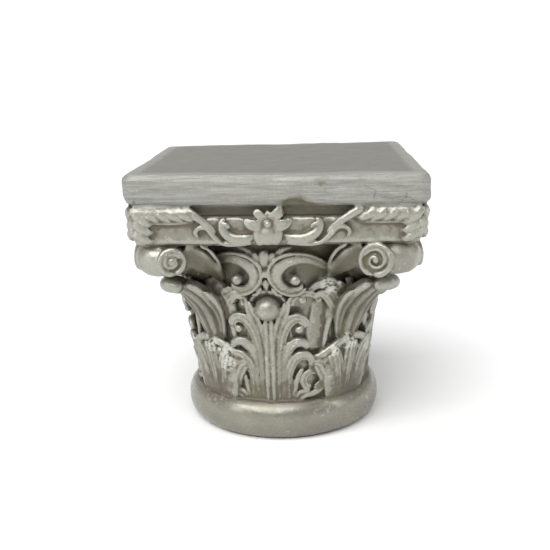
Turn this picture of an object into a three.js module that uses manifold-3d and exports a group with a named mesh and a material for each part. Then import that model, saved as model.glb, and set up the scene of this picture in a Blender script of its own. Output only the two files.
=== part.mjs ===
// A small cast Corinthian capital: square slab, moulded abacus with a flower and twisted leaves, corner
// volutes, inner helices, acanthus leaves on a flaring bell, and a round base ring. It is one casting, so it
// is one solid.
// Millimetres, +Z up, -Y is the front. The origin is the centre of the flat underside.
import * as THREE from "three";
import { mergeVertices } from "three/addons/utils/BufferGeometryUtils.js";
import Module from "manifold-3d";

// Driving dimensions
const HEIGHT = 316; // underside to the top of the slab
const SLAB_SIDE = 320;
const SLAB_THICKNESS = 35;
const SLAB_CORNER = 13; // round of its upright corners
const SLAB_EDGE = 8; // round of its level edges
const RING_HEIGHT = 46;
const RING_RADIUS = 118;
const RING_FOOT_RADIUS = 103; // the flat the ring stands on
const NECK_RADIUS = 101; // the bell just above the ring
const LIP_RADIUS = 134; // the bell just below the abacus
const ABACUS_HEIGHT = 43; // from the underside of its moulding to the slab
const ABACUS_HALF = 151; // half the side of its moulding
const RECESS_HALF = 145; // half the side of the sunk fillet under the slab
const RECESS_HEIGHT = 11;
const MOTIF_SHIFT = -9; // the carving in the middle of each face stands this far off centre
const BALL_RADIUS = 13.5; // the ball over each middle leaf
const BALL_HEIGHT = 160;
const VOLUTE_HEIGHT = 221; // middle of the corner rolls
const VOLUTE_RADIUS = 19;
const VOLUTE_REACH = 149; // how far out the spiral ends stand, front and side
const CORNER_REACH = 187; // middle of the roll at the corner, along the diagonal
const EYE_RADIUS = 16.5; // the spiral ends of the corner rolls
const EYE_ACROSS = 107; // how far they stand from the middle of the side
const FACES = 4;
const ROUND_SEGMENTS = 28;
const SMALLEST_DETAIL = 1.25; // slivers finer than this are merged into their neighbours

const SLAB_BOTTOM = HEIGHT - SLAB_THICKNESS;
const ABACUS_BOTTOM = SLAB_BOTTOM - ABACUS_HEIGHT;
const MOULDING_TOP = SLAB_BOTTOM - RECESS_HEIGHT;
const UP = new THREE.Vector3(0, 0, 1);

const wasm = await Module();
wasm.setup();

// A closed three.js geometry as a solid that can be joined.
function solidOf(geometry) {
  const bare = geometry.index ? geometry.toNonIndexed() : geometry.clone();
  bare.deleteAttribute("normal");
  bare.deleteAttribute("uv");
  const merged = mergeVertices(bare, 1e-3);
  return new wasm.Manifold(
    new wasm.Mesh({
      numProp: 3,
      vertProperties: merged.attributes.position.array,
      triVerts: new Uint32Array(merged.index.array),
    }),
  );
}

// A solid as a three.js geometry.
function geometryOf(solid) {
  const mesh = solid.getMesh();
  const geometry = new THREE.BufferGeometry();
  geometry.setAttribute("position", new THREE.BufferAttribute(mesh.vertProperties, 3));
  geometry.setIndex(new THREE.BufferAttribute(mesh.triVerts, 1));
  const flat = geometry.toNonIndexed();
  flat.computeVertexNormals();
  return flat;
}

// Ground forms ----------------------------------------------------------------------------------------

// Radius of the bare bell at a height: nearly straight at the neck, flaring to the lip.
function bellRadius(z) {
  const rise = THREE.MathUtils.clamp((z - RING_HEIGHT) / (ABACUS_BOTTOM - RING_HEIGHT), 0, 1);
  return NECK_RADIUS + (LIP_RADIUS - NECK_RADIUS) * rise ** 2.2;
}

function bellAndRing() {
  const profile = [new THREE.Vector2(0, 0), new THREE.Vector2(RING_FOOT_RADIUS, 0)];
  const swell = 15; // how far the ring's round stands out from its middle
  const roundSteps = 6;
  for (let i = 0; i <= roundSteps; i++) {
    const turn = THREE.MathUtils.lerp(-0.42, 0.46, i / roundSteps) * Math.PI;
    const radius = RING_RADIUS - swell + swell * Math.cos(turn);
    profile.push(new THREE.Vector2(radius, RING_HEIGHT / 2 + (RING_HEIGHT / 2 - 1) * Math.sin(turn)));
  }
  for (const share of [0, 0.4, 0.65, 0.85, 1]) {
    const z = THREE.MathUtils.lerp(RING_HEIGHT, ABACUS_BOTTOM + 2, share);
    profile.push(new THREE.Vector2(bellRadius(z), z));
  }
  profile.push(new THREE.Vector2(0, ABACUS_BOTTOM + 2));
  return new THREE.LatheGeometry(profile, ROUND_SEGMENTS).rotateX(Math.PI / 2);
}

// A square block with round corners and soft edges, standing on the height bottom.
function softSquare(half, bottom, thickness, corner, edge) {
  const shape = new THREE.Shape();
  const straight = half - edge - corner;
  for (let i = 0; i < FACES; i++) {
    const [x, y] = [i === 0 || i === 3 ? straight : -straight, i < 2 ? straight : -straight];
    shape.absarc(x, y, corner, (i * Math.PI) / 2, ((i + 1) * Math.PI) / 2);
  }
  return new THREE.ExtrudeGeometry(shape, {
    depth: thickness - 2 * edge,
    bevelThickness: edge,
    bevelSize: edge,
    bevelSegments: edge > 3 ? 3 : 1,
    curveSegments: 3,
  }).translate(0, 0, bottom + edge);
}

// Carved ridges ---------------------------------------------------------------------------------------

// Outline of a ridge across its run, from its right foot over the top to its left foot, as shares of its
// width
// and height. The feet are sunk below the ground.
const VEIN = [
  [1, -1.1],
  [0, 1],
  [-1, -1.1],
];
const ROLL = [
  [0.8, -1.3],
  [1, 0.2],
  [0, 1],
  [-1, 0.2],
  [-0.8, -1.3],
];

// A ridge along a line of {at, out, wide, high}, where out is the way it stands up. It closes to a point at
// both ends.
function ridge(line, outline = VEIN) {
  const rings = line.slice(1, -1).map(({ at, out, wide, high }, i) => {
    const along = line[i + 2].at.clone().sub(line[i].at).normalize();
    const rise = out.clone().addScaledVector(along, -out.dot(along)).normalize();
    const across = new THREE.Vector3().crossVectors(along, rise);
    const point = ([x, y]) => at.clone().addScaledVector(across, wide * x).addScaledVector(rise, high * y);
    return outline.map(point);
  });
  const positions = [];
  const face = (...corners) => corners.forEach((corner) => positions.push(...corner.toArray()));
  for (let k = 0; k < outline.length; k++) {
    const next = (k + 1) % outline.length;
    face(line[0].at, rings[0][k], rings[0][next]);
    for (let i = 0; i + 1 < rings.length; i++) {
      face(rings[i][k], rings[i + 1][k], rings[i + 1][next]);
      face(rings[i][k], rings[i + 1][next], rings[i][next]);
    }
    face(rings.at(-1)[k], line.at(-1).at, rings.at(-1)[next]);
  }
  const geometry = new THREE.BufferGeometry();
  geometry.setAttribute("position", new THREE.Float32BufferAttribute(positions, 3));
  return geometry;
}

const awayFromAxis = (at) => new THREE.Vector3(at.x, at.y, 0).normalize();

// A smooth line through points, for a ridge that swells from ends (a share of its full size) to wide and
// high.
function swelling(points, steps, wide, high, { outAt = awayFromAxis, ends = 0.35 } = {}) {
  const curve = new THREE.CatmullRomCurve3(points);
  return Array.from({ length: steps + 1 }, (_, i) => {
    const share = i / steps;
    const size = ends + (1 - ends) * Math.sin(Math.PI * share);
    const at = curve.getPoint(share);
    return { at, out: outAt(at), wide: wide * size, high: high * size };
  });
}

function ball(at, radius, detail = 1) {
  return new THREE.IcosahedronGeometry(radius, detail).translate(at.x, at.y, at.z);
}

// A point on the bell, or lift outside it, at a distance across from the middle of the front's carving.
function onFace(across, z, lift) {
  const radius = bellRadius(z);
  const angle = MOTIF_SHIFT / NECK_RADIUS + across / radius;
  return new THREE.Vector3((radius + lift) * Math.sin(angle), -(radius + lift) * Math.cos(angle), z);
}

// The leaf in the middle of a face: a midrib, lobes that curl away on both sides, a ring curl at each foot
// corner, and the ball it carries.
function faceLeaf() {
  const foot = RING_HEIGHT + 2;
  const lobes = [
    { root: 7, reach: 26, top: 170 },
    { root: 14, reach: 38, top: 146 },
    { root: 20, reach: 42, top: 116 },
  ];
  const rib = [onFace(0, foot, 0), onFace(0, 80, 4), onFace(0, 120, 5), onFace(0, 152, 0)];
  const parts = [ridge(swelling(rib, 3, 6, 6, { ends: 0.7 }), ROLL)];
  parts.push(ball(onFace(0, BALL_HEIGHT, 5), BALL_RADIUS, 2));
  for (const side of [1, -1]) {
    for (const { root, reach, top } of lobes) {
      const points = [
        onFace(side * root, foot, 0),
        onFace(side * root * 0.9, THREE.MathUtils.lerp(foot, top, 0.6), 4),
        onFace(side * THREE.MathUtils.lerp(root, reach, 0.6), top, 6),
        onFace(side * reach, top - 9, 5),
      ];
      parts.push(ridge(swelling(points, 5, 6, 8), ROLL));
    }
    const curl = [0, 0.25, 0.5, 0.75].map((share) => {
      const turn = (side > 0 ? 0.9 : 0.1) * Math.PI - side * share * 2 * Math.PI;
      return onFace(side * 39 + 10 * Math.cos(turn), 70 + 10 * Math.sin(turn), 4);
    });
    parts.push(ridge(swelling(curl, 5, 5, 6, { ends: 0.6 })));
  }
  return parts;
}

// The two helices that spring towards each other over the ball, each ending in an eye, and the leaf below
// each.
function faceHelices() {
  const parts = [];
  for (const side of [1, -1]) {
    const helix = [
      onFace(side * 76, 196, -2),
      onFace(side * 56, 215, 4),
      onFace(side * 30, 219, 6),
      onFace(side * 13, 200, 6),
      onFace(side * 22, 183, 6),
      onFace(side * 33, 189, 2),
    ];
    const calyx = [
      onFace(side * 74, 148, -2),
      onFace(side * 62, 168, 4),
      onFace(side * 46, 178, 6),
      onFace(side * 34, 170, 2),
    ];
    parts.push(ridge(swelling(helix, 8, 7, 9, { ends: 0.5 }), ROLL));
    parts.push(ridge(swelling(calyx, 4, 8, 8)));
    parts.push(ball(onFace(side * 30, 194, 4), 6));
  }
  const bud = [onFace(0, 200, -3), onFace(0, 214, 4), onFace(0, 228, 4), onFace(0, 240, -3)];
  parts.push(ridge(swelling(bud, 3, 8, 7)));
  return parts;
}

// A round outline of so many sides.
function round(sides) {
  const turn = (2 * Math.PI) / sides;
  return Array.from({ length: sides }, (_, i) => [Math.cos(i * turn), Math.sin(i * turn)]);
}

// Height and reach of the side lobes of a corner leaf
const LOBES = [
  [104, 40],
  [146, 42],
];

// A corner, drawn at the front right: the leaf that leans out and curls under the volutes, its side lobes,
// the roll that lies across the corner, and the stem and spiral face of the volute on each side of it.
function corner() {
  const outwards = new THREE.Vector3(1, -1, 0).normalize();
  const sideways = new THREE.Vector3(1, 1, 0).normalize();
  const at = (reach, z, across = 0) =>
    new THREE.Vector3(0, 0, z).addScaledVector(outwards, reach).addScaledVector(sideways, across);
  const cornerOut = { outAt: () => outwards };
  const parts = [];

  // The solid mass behind the volutes, as a slice standing on the diagonal.
  const slice = new THREE.Shape();
  slice.moveTo(90, 70);
  slice.lineTo(104, 70);
  slice.lineTo(120, 138);
  slice.lineTo(146, 180);
  slice.lineTo(178, 212);
  slice.lineTo(182, 242);
  slice.lineTo(90, 242);
  const mass = new THREE.ExtrudeGeometry(slice, { depth: 52, bevelEnabled: false }).translate(0, 0, -26);
  parts.push(mass.applyMatrix4(new THREE.Matrix4().makeBasis(outwards, UP, sideways.clone().negate())));

  // The leaf leans out from the bell and its tip curls down.
  const tongue = (offset, fan, wide) => {
    const lean = [at(98, 47, offset), at(108, 95, offset + fan), at(121, 138, offset + 2 * fan)];
    lean.push(at(146, 174, offset + 3 * fan), at(166, 190, offset + 3.3 * fan));
    return ridge(swelling(lean, 4, wide, 9, { ...cornerOut, ends: 0.7 }), ROLL);
  };
  parts.push(tongue(0, 0, 9), tongue(17, 2, 8), tongue(-17, -2, 8));
  const curl = [at(156, 187, -17), at(169, 191, -9), at(172, 192, 0), at(169, 191, 9), at(156, 187, 17)];
  parts.push(ridge(swelling(curl, 4, 9, 8, { outAt: () => UP, ends: 0.8 }), round(6)));
  for (const side of [1, -1]) {
    for (const [z, reach] of LOBES) {
      const lobe = [
        at(bellRadius(z - 45) - 3, z - 45, side * 18),
        at(bellRadius(z) + 2, z - 14, side * 26),
        at(bellRadius(z) - 1, z, side * reach * 0.85),
        at(bellRadius(z) - 12, z - 10, side * (reach + 6)),
      ];
      parts.push(ridge(swelling(lobe, 4, 8, 9, cornerOut), ROLL));
    }
  }

  // The smooth roll of the scroll at the corner itself.
  const half = VOLUTE_REACH;
  const roll = [-30, -20, 0, 20, 30].map((across) => {
    const radius = Math.abs(across) > 25 ? 0 : VOLUTE_RADIUS - Math.abs(across) * 0.12;
    const middle = at(CORNER_REACH - Math.abs(across) * 0.35, VOLUTE_HEIGHT, across);
    return { at: middle, out: UP, wide: radius, high: radius };
  });
  parts.push(ridge(roll, round(8)));

  // On each side of it a dished spiral end, and the stem that runs to it from the bell.
  for (const side of [1, -1]) {
    const onSide = (across, out, z) =>
      side > 0 ? new THREE.Vector3(out, -across, z) : new THREE.Vector3(across, -out, z);
    const profile = [
      [0, -34],
      [EYE_RADIUS, -26],
      [EYE_RADIUS, -2],
      [EYE_RADIUS - 4, 0],
      [5, -4],
      [0, 2],
    ].map(([radius, height]) => new THREE.Vector2(radius, height));
    const eyeOut = onSide(-0.3, 0.95, 0).normalize();
    const basis = new THREE.Matrix4().makeBasis(new THREE.Vector3().crossVectors(eyeOut, UP), eyeOut, UP);
    const middle = onSide(EYE_ACROSS, half, VOLUTE_HEIGHT);
    parts.push(new THREE.LatheGeometry(profile, 10).applyMatrix4(basis).translate(...middle.toArray()));
    const stem = [onSide(46, 116, 200), onSide(64, 128, 222), onSide(84, 140, 232)];
    stem.push(onSide(EYE_ACROSS, 143, 234));
    const outAt = () => onSide(-0.35, 0.6, 0.7);
    parts.push(ridge(swelling(stem, 4, 12, 10, { outAt, ends: 0.6 }), ROLL));
  }
  return parts;
}

// Ornament on the front of the abacus: the flower on its cup, a scroll on each side, and the twisted leaf
// that runs to each corner and turns down over it.
function abacusOrnament() {
  const outAt = () => new THREE.Vector3(0, -1, 0);
  const at = (across, z, lift) => new THREE.Vector3(across, -ABACUS_HALF - lift, z);
  const fromMotif = (across, z, lift) => at(MOTIF_SHIFT + across, z, lift);
  const petals = 5;
  const flower = new THREE.Shape();
  const outline = petals * 4;
  for (let i = 0; i < outline; i++) {
    const turn = (i / outline) * 2 * Math.PI + 0.3;
    const reach = 13 + 6 * Math.cos((petals * i * 2 * Math.PI) / outline);
    flower[i === 0 ? "moveTo" : "lineTo"](reach * Math.cos(turn), reach * Math.sin(turn));
  }
  const bloom = new THREE.ExtrudeGeometry(flower, { depth: 6, bevelEnabled: false }).rotateX(Math.PI / 2);
  const cup = [fromMotif(0, 262, -4), fromMotif(0, 253, 2), fromMotif(0, 243, 2), fromMotif(0, 236, -4)];
  const parts = [
    bloom.translate(MOTIF_SHIFT, 2 - ABACUS_HALF, 262),
    ball(fromMotif(0, 262, 4), 4.5, 0),
    ridge(swelling(cup, 3, 16, 7, { outAt, ends: 0.7 })),
  ];
  const strands = 4;
  for (const side of [1, -1]) {
    const scroll = [
      fromMotif(side * 14, 250, 0),
      fromMotif(side * 32, 244, 1),
      fromMotif(side * 50, 250, 1),
      fromMotif(side * 68, 262, 1),
      fromMotif(side * 78, 252, 0),
    ];
    parts.push(ridge(swelling(scroll, 6, 6, 7, { outAt, ends: 0.5 })));
    for (let i = 0; i < strands; i++) {
      const start = side * (84 + 11 * i);
      const strand = [at(start, 264, -3), at(start + side * 9, 270, 3), at(start + side * 18, 276, 3)];
      strand.push(at(start + side * 25, 280, -4));
      parts.push(ridge(swelling(strand, 3, 7, 4.5, { outAt, ends: 0.6 })));
    }
  }
  // The leaf end that turns down over the corner.
  const diagonal = new THREE.Vector3(1, -1, 0).normalize();
  const onCorner = (reach, z) => new THREE.Vector3(0, 0, z).addScaledVector(diagonal, reach);
  const fall = [onCorner(194, 276), onCorner(203, 268), onCorner(204, 254), onCorner(194, 238)];
  parts.push(ridge(swelling(fall, 4, 15, 6, { outAt: () => diagonal, ends: 0.7 }), ROLL));
  return parts;
}

// The capital -----------------------------------------------------------------------------------------

function capital() {
  const block = softSquare(SLAB_SIDE / 2, SLAB_BOTTOM, SLAB_THICKNESS, SLAB_CORNER - SLAB_EDGE, SLAB_EDGE);
  const slab = solidOf(block);
  const solids = [
    bellAndRing(),
    softSquare(RECESS_HALF, MOULDING_TOP - 4, RECESS_HEIGHT + 6, 3, 1),
    softSquare(ABACUS_HALF, ABACUS_BOTTOM, MOULDING_TOP - ABACUS_BOTTOM, 4, 4),
  ].map(solidOf);
  const quarter = [...faceLeaf(), ...faceHelices(), ...corner(), ...abacusOrnament()];
  for (let face = 0; face < FACES; face++) {
    for (const piece of quarter) {
      solids.push(solidOf(piece.clone().rotateZ((face * 2 * Math.PI) / FACES)));
    }
  }
  const carved = wasm.Manifold.union(solids).asOriginal().simplify(SMALLEST_DETAIL);
  const [casting] = carved.add(slab).decompose().sort((a, b) => b.volume() - a.volume());
  return geometryOf(casting);
}

const painted = new THREE.MeshStandardMaterial({ color: 0x9b9a8c, roughness: 0.45, metalness: 0.3 });
const mesh = new THREE.Mesh(capital(), painted);
mesh.name = "capital";
const group = new THREE.Group();
group.add(mesh);
export default group;
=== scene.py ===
"""A cast Corinthian capital in worn pewter paint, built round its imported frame.

Metres in Blender and millimetres in the carving classes. +Z is up and -Y is the front. The casting is one
piece: its ground forms and every carved stroke are joined into one skin, then worn, chipped and painted.
"""

import logging
import math
from dataclasses import dataclass, field
from enum import Enum
from typing import Callable, Iterable, Sequence

import bpy
import numpy as np
from mathutils import Matrix, Vector


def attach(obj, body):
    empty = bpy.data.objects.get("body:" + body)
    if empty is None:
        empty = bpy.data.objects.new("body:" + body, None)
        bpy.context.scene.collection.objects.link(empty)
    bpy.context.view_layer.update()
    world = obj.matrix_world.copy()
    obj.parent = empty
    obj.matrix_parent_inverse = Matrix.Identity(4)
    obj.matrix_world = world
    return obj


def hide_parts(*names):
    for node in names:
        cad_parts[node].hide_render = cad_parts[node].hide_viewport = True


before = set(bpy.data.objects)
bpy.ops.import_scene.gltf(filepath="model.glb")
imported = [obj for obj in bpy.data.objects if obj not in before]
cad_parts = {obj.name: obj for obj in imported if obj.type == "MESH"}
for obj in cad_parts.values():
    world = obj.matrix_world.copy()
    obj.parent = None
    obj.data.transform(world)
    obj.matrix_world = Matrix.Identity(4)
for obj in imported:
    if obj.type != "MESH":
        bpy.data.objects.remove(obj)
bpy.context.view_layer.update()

log = logging.getLogger("capital")

MM = 0.001
FACES = 4
Array = np.ndarray


# Node graphs --------------------------------------------------------------------------------------


class Signal:
    """A socket that carries a number. Arithmetic on it adds Math nodes to its graph."""

    def __init__(self, graph: "Graph", socket: bpy.types.NodeSocket) -> None:
        """Wraps a socket of a graph."""
        self.graph = graph
        self.socket = socket

    def _math(self, operation: str, *values: "Signal | float", clamp: bool = False) -> "Signal":
        """Adds one Math node.

        Args:
            operation: the Math node's operation.
            values: its inputs in order.
            clamp: whether the result is held between 0 and 1.

        Returns:
            The node's result.
        """
        settings = {"operation": operation, "use_clamp": clamp}
        return self.graph.add("ShaderNodeMath", settings, dict(enumerate(values))).out()

    def __add__(self, other: "Signal | float") -> "Signal":
        """self + other."""
        return self._math("ADD", self, other)

    def __radd__(self, other: float) -> "Signal":
        """other + self."""
        return self._math("ADD", other, self)

    def __sub__(self, other: "Signal | float") -> "Signal":
        """self - other."""
        return self._math("SUBTRACT", self, other)

    def __rsub__(self, other: float) -> "Signal":
        """other - self."""
        return self._math("SUBTRACT", other, self)

    def __mul__(self, other: "Signal | float") -> "Signal":
        """self * other."""
        return self._math("MULTIPLY", self, other)

    def __rmul__(self, other: float) -> "Signal":
        """other * self."""
        return self._math("MULTIPLY", other, self)

    def __truediv__(self, other: "Signal | float") -> "Signal":
        """self / other."""
        return self._math("DIVIDE", self, other)

    def absolute(self) -> "Signal":
        """The size of self without its sign."""
        return self._math("ABSOLUTE", self)

    def clamped(self) -> "Signal":
        """self held between 0 and 1."""
        return self._math("ADD", self, 0.0, clamp=True)

    def above(self, other: "Signal | float") -> "Signal":
        """1 where it is more than the other, 0 elsewhere."""
        return self._math("GREATER_THAN", self, other)

    def at_most(self, other: "Signal | float") -> "Signal":
        """The smaller of self and other."""
        return self._math("MINIMUM", self, other)

    def at_least(self, other: "Signal | float") -> "Signal":
        """The larger of self and other."""
        return self._math("MAXIMUM", self, other)

    def step(self, low: float, high: float) -> "Signal":
        """A smooth step.

        Args:
            low: where it is 0.
            high: where it is 1. It may be the lower of the two.

        Returns:
            The step.
        """
        settings = {"interpolation_type": "SMOOTHSTEP"}
        start, end, first, last = (low, high, 0.0, 1.0) if low < high else (high, low, 1.0, 0.0)
        inputs = {"Value": self, "From Min": start, "From Max": end, "To Min": first, "To Max": last}
        return self.graph.add("ShaderNodeMapRange", settings, inputs).out("Result")


class Node:
    """One node of a graph."""

    def __init__(self, graph: "Graph", node: bpy.types.Node) -> None:
        """Wraps a node of a graph."""
        self.graph = graph
        self.node = node

    def out(self, name: str | int = 0) -> Signal:
        """The output of that name or place, as a number that can be used in sums."""
        return Signal(self.graph, self.node.outputs[name])


class Graph:
    """A node tree that is written as expressions."""

    def __init__(self, tree: bpy.types.NodeTree) -> None:
        """Wraps a node tree."""
        self.tree = tree

    def add(self, kind: str, settings: dict | None = None, inputs: dict | None = None) -> Node:
        """Adds a node.

        Args:
            kind: the node's type.
            settings: its properties, which are set first. "stops" are a ramp's (place, colour) pairs.
            inputs: values, signals or sockets, by the input's name or place.

        Returns:
            The node.
        """
        node = self.tree.nodes.new(kind)
        for key, value in (settings or {}).items():
            if key != "stops":
                setattr(node, key, value)
                continue
            ramp = node.color_ramp.elements
            for place, colour in value[2:]:
                ramp.new(place).color = colour
            for stop, (place, colour) in zip((ramp[0], ramp[-1]), (value[0], value[1])):
                stop.position, stop.color = place, colour
        for key, value in (inputs or {}).items():
            if isinstance(value, Signal):
                self.tree.links.new(value.socket, node.inputs[key])
            elif value is not None:
                node.inputs[key].default_value = value
        return Node(self, node)

    def mix(self, share: Signal | float, first: Signal | Sequence[float], second: Signal | Sequence[float],
            blend: str = "MIX") -> Signal:
        """Mixes two colours.

        Args:
            share: how much of the second shows.
            first: a colour.
            second: a colour.
            blend: how they mix.

        Returns:
            The mixed colour.
        """
        pair = [c if isinstance(c, Signal) else (*c[:3], 1.0) for c in (first, second)]
        settings = {"data_type": "RGBA", "blend_type": blend}
        return self.add("ShaderNodeMix", settings, {0: share, 6: pair[0], 7: pair[1]}).out(2)


class GeometryRule(Graph):
    """A Geometry Nodes tree with named inputs, which ends in Realize Instances and Set Material."""

    def __init__(self, name: str, inputs: dict[str, tuple[str, float | int | None]]) -> None:
        """Starts a tree.

        Args:
            name: the tree's name.
            inputs: socket type and default by input name, after the geometry and the material.
        """
        super().__init__(bpy.data.node_groups.new(name, "GeometryNodeTree"))
        face = self.tree.interface
        face.new_socket("Geometry", in_out="OUTPUT", socket_type="NodeSocketGeometry")
        face.new_socket("Geometry", in_out="INPUT", socket_type="NodeSocketGeometry")
        self.identifiers = {}
        for label, (kind, default) in {"Material": ("NodeSocketMaterial", None), **inputs}.items():
            socket = face.new_socket(label, in_out="INPUT", socket_type=kind)
            if default is not None:
                socket.default_value = default
            self.identifiers[label] = socket.identifier
        self.start = self.add("NodeGroupInput")

    def close(self, geometry: Signal) -> None:
        """Ends the tree with this geometry."""
        real = self.add("GeometryNodeRealizeInstances", inputs={"Geometry": geometry}).out()
        inputs = {"Geometry": real, "Material": self.start.out("Material")}
        dressed = self.add("GeometryNodeSetMaterial", inputs=inputs).out()
        self.add("NodeGroupOutput", inputs={"Geometry": dressed})

    def run(self, source: bpy.types.Mesh, material: bpy.types.Material | None,
            **values: float | int) -> bpy.types.Mesh:
        """Runs the tree on a mesh.

        Args:
            source: the mesh it starts from.
            material: the material it sets.
            values: its other inputs, by name.

        Returns:
            The result as a plain mesh.
        """
        carrier = bpy.data.objects.new("carrier", source)
        bpy.context.scene.collection.objects.link(carrier)
        modifier = carrier.modifiers.new("rule", "NODES")
        modifier.node_group = self.tree
        modifier[self.identifiers["Material"]] = material
        for label, value in values.items():
            modifier[self.identifiers[label]] = value
        result = evaluated_mesh(carrier)
        bpy.data.objects.remove(carrier)
        return result


def evaluated_mesh(thing: bpy.types.Object) -> bpy.types.Mesh:
    """The object's mesh with its modifiers worked in."""
    graph = bpy.context.evaluated_depsgraph_get()
    graph.update()
    return bpy.data.meshes.new_from_object(thing.evaluated_get(graph), depsgraph=graph)


def modified(mesh: bpy.types.Mesh, kind: str, **settings: float | str | bool) -> bpy.types.Mesh:
    """A mesh with one modifier worked in.

    Args:
        mesh: the mesh, which stays as it is.
        kind: the modifier's type.
        settings: its properties by name.

    Returns:
        The new mesh.
    """
    carrier = bpy.data.objects.new("carrier", mesh)
    bpy.context.scene.collection.objects.link(carrier)
    modifier = carrier.modifiers.new(kind.lower(), kind)
    for key, value in settings.items():
        setattr(modifier, key, value)
    result = evaluated_mesh(carrier)
    bpy.data.objects.remove(carrier)
    return result


def mesh_of(name: str, points: Array, faces: Iterable[Sequence[int]],
            edges: Iterable[Sequence[int]] = ()) -> bpy.types.Mesh:
    """A mesh from points in millimetres.

    Args:
        name: the mesh's name.
        points: one row of x, y, z for each point.
        faces: point numbers of each face.
        edges: point numbers of each loose edge.

    Returns:
        The mesh, in metres.
    """
    mesh = bpy.data.meshes.new(name)
    mesh.from_pydata((np.asarray(points) * MM).tolist(), list(edges), list(faces))
    mesh.update()
    return mesh


def joined(name: str, meshes: Sequence[bpy.types.Mesh]) -> bpy.types.Mesh:
    """All the meshes as one.

    Args:
        name: the new mesh's name.
        meshes: the meshes, which are used up.

    Returns:
        One mesh.
    """
    points, loops, starts, totals = [], [], [], []
    shift = offset = 0
    for mesh in meshes:
        co = np.empty(len(mesh.vertices) * 3, np.float32)
        mesh.vertices.foreach_get("co", co)
        corner = np.empty(len(mesh.loops), np.int32)
        mesh.loops.foreach_get("vertex_index", corner)
        start = np.empty(len(mesh.polygons), np.int32)
        mesh.polygons.foreach_get("loop_start", start)
        points.append(co)
        loops.append(corner + shift)
        starts.append(start + offset)
        totals.append(np.diff(np.append(start, len(corner))))
        shift += len(mesh.vertices)
        offset += len(corner)
        bpy.data.meshes.remove(mesh)
    whole = bpy.data.meshes.new(name)
    whole.vertices.add(shift)
    whole.vertices.foreach_set("co", np.concatenate(points))
    whole.loops.add(offset)
    whole.loops.foreach_set("vertex_index", np.concatenate(loops).astype(np.int32))
    whole.polygons.add(sum(len(s) for s in starts))
    whole.polygons.foreach_set("loop_start", np.concatenate(starts).astype(np.int32))
    whole.polygons.foreach_set("loop_total", np.concatenate(totals).astype(np.int32))
    whole.update(calc_edges=True)
    return whole


# Grounds the carving lies on ----------------------------------------------------------------------


@dataclass(frozen=True)
class Bell:
    """The plain round body: a base ring and a bell that flares to the abacus. Millimetres."""

    ring_height: float = 46.0
    ring_radius: float = 118.0
    foot_radius: float = 103.0
    neck_radius: float = 101.0
    lip_radius: float = 134.0
    lip_height: float = 240.0
    flare: float = 2.2
    motif_angle: float = math.radians(-6.2)

    def radius(self, z: Array | float) -> Array:
        """The bell's radius at a height."""
        span = self.lip_height - self.ring_height
        rise = np.clip((np.asarray(z, float) - self.ring_height) / span, 0, 1)
        return self.neck_radius + (self.lip_radius - self.neck_radius) * rise**self.flare

    def place(self, angle: Array, z: Array, lift: Array) -> Array:
        """Points on the bell.

        Args:
            angle: angle from the front towards +X.
            z: height.
            lift: how far the points stand off the bell.

        Returns:
            One row of x, y, z for each point.
        """
        radius = self.radius(z) + lift
        return np.stack([radius * np.sin(angle), -radius * np.cos(angle), np.asarray(z, float)], axis=-1)

    def mesh(self, segments: int = 192) -> bpy.types.Mesh:
        """The bell and its ring as one turned solid.

        Args:
            segments: how many sides the turning has.

        Returns:
            A closed mesh.
        """
        swell = 15.0
        turns = np.linspace(-0.44, 0.47, 24) * math.pi
        ring = [(self.ring_radius - swell + swell * math.cos(t), 23.0 + 22.5 * math.sin(t)) for t in turns]
        heights = np.linspace(self.ring_height + 0.5, self.lip_height + 6, 40)
        wall = [(float(self.radius(z)), float(z)) for z in heights]
        profile = [(self.foot_radius, 0.0), *ring, *wall]
        rows = len(profile)
        angles = np.linspace(0, 2 * math.pi, segments, endpoint=False)
        points = [(r * math.sin(a), -r * math.cos(a), z) for a in angles for r, z in profile]
        points += [(0.0, 0.0, 0.0), (0.0, 0.0, profile[-1][1])]
        faces = []
        for i in range(segments):
            here, there = i * rows, (i + 1) % segments * rows
            faces += [(here + j, there + j, there + j + 1, here + j + 1) for j in range(rows - 1)]
            faces += [(there, here, len(points) - 2), (here + rows - 1, there + rows - 1, len(points) - 1)]
        return mesh_of("bell", np.array(points), faces)


def soft_block(half: float, low: float, high: float, corner: float, edge: float) -> bpy.types.Mesh:
    """A square block with rounded corners and edges.

    Args:
        half: half its side.
        low: height of its underside.
        high: height of its top.
        corner: radius of its upright corners in plan.
        edge: radius of its level edges.

    Returns:
        A closed mesh.
    """
    turn = np.linspace(0, math.pi / 2, 9)
    profile = [(edge * (1 - math.sin(t)), low + edge * (1 - math.cos(t))) for t in turn]
    profile += [(edge * (1 - math.cos(t)), high - edge * (1 - math.sin(t))) for t in turn]
    points = []
    for inset, z in profile:
        for k in range(FACES):
            for t in turn:
                angle = t + k * math.pi / 2
                reach = max(corner, edge + 0.5) - inset
                middle = half - max(corner, edge + 0.5)
                sx, sy = (1, -1, -1, 1)[k], (1, 1, -1, -1)[k]
                x, y = sx * middle + reach * math.cos(angle), sy * middle + reach * math.sin(angle)
                points.append((x, y, z))
    count = FACES * len(turn)
    faces = []
    for level in range(len(profile) - 1):
        for i in range(count):
            a, b = level * count + i, level * count + (i + 1) % count
            faces.append((a, b, b + count, a + count))
    faces.append(tuple(reversed(range(count))))
    faces.append(tuple(range((len(profile) - 1) * count, len(profile) * count)))
    return mesh_of("block", np.array(points), faces)


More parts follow.
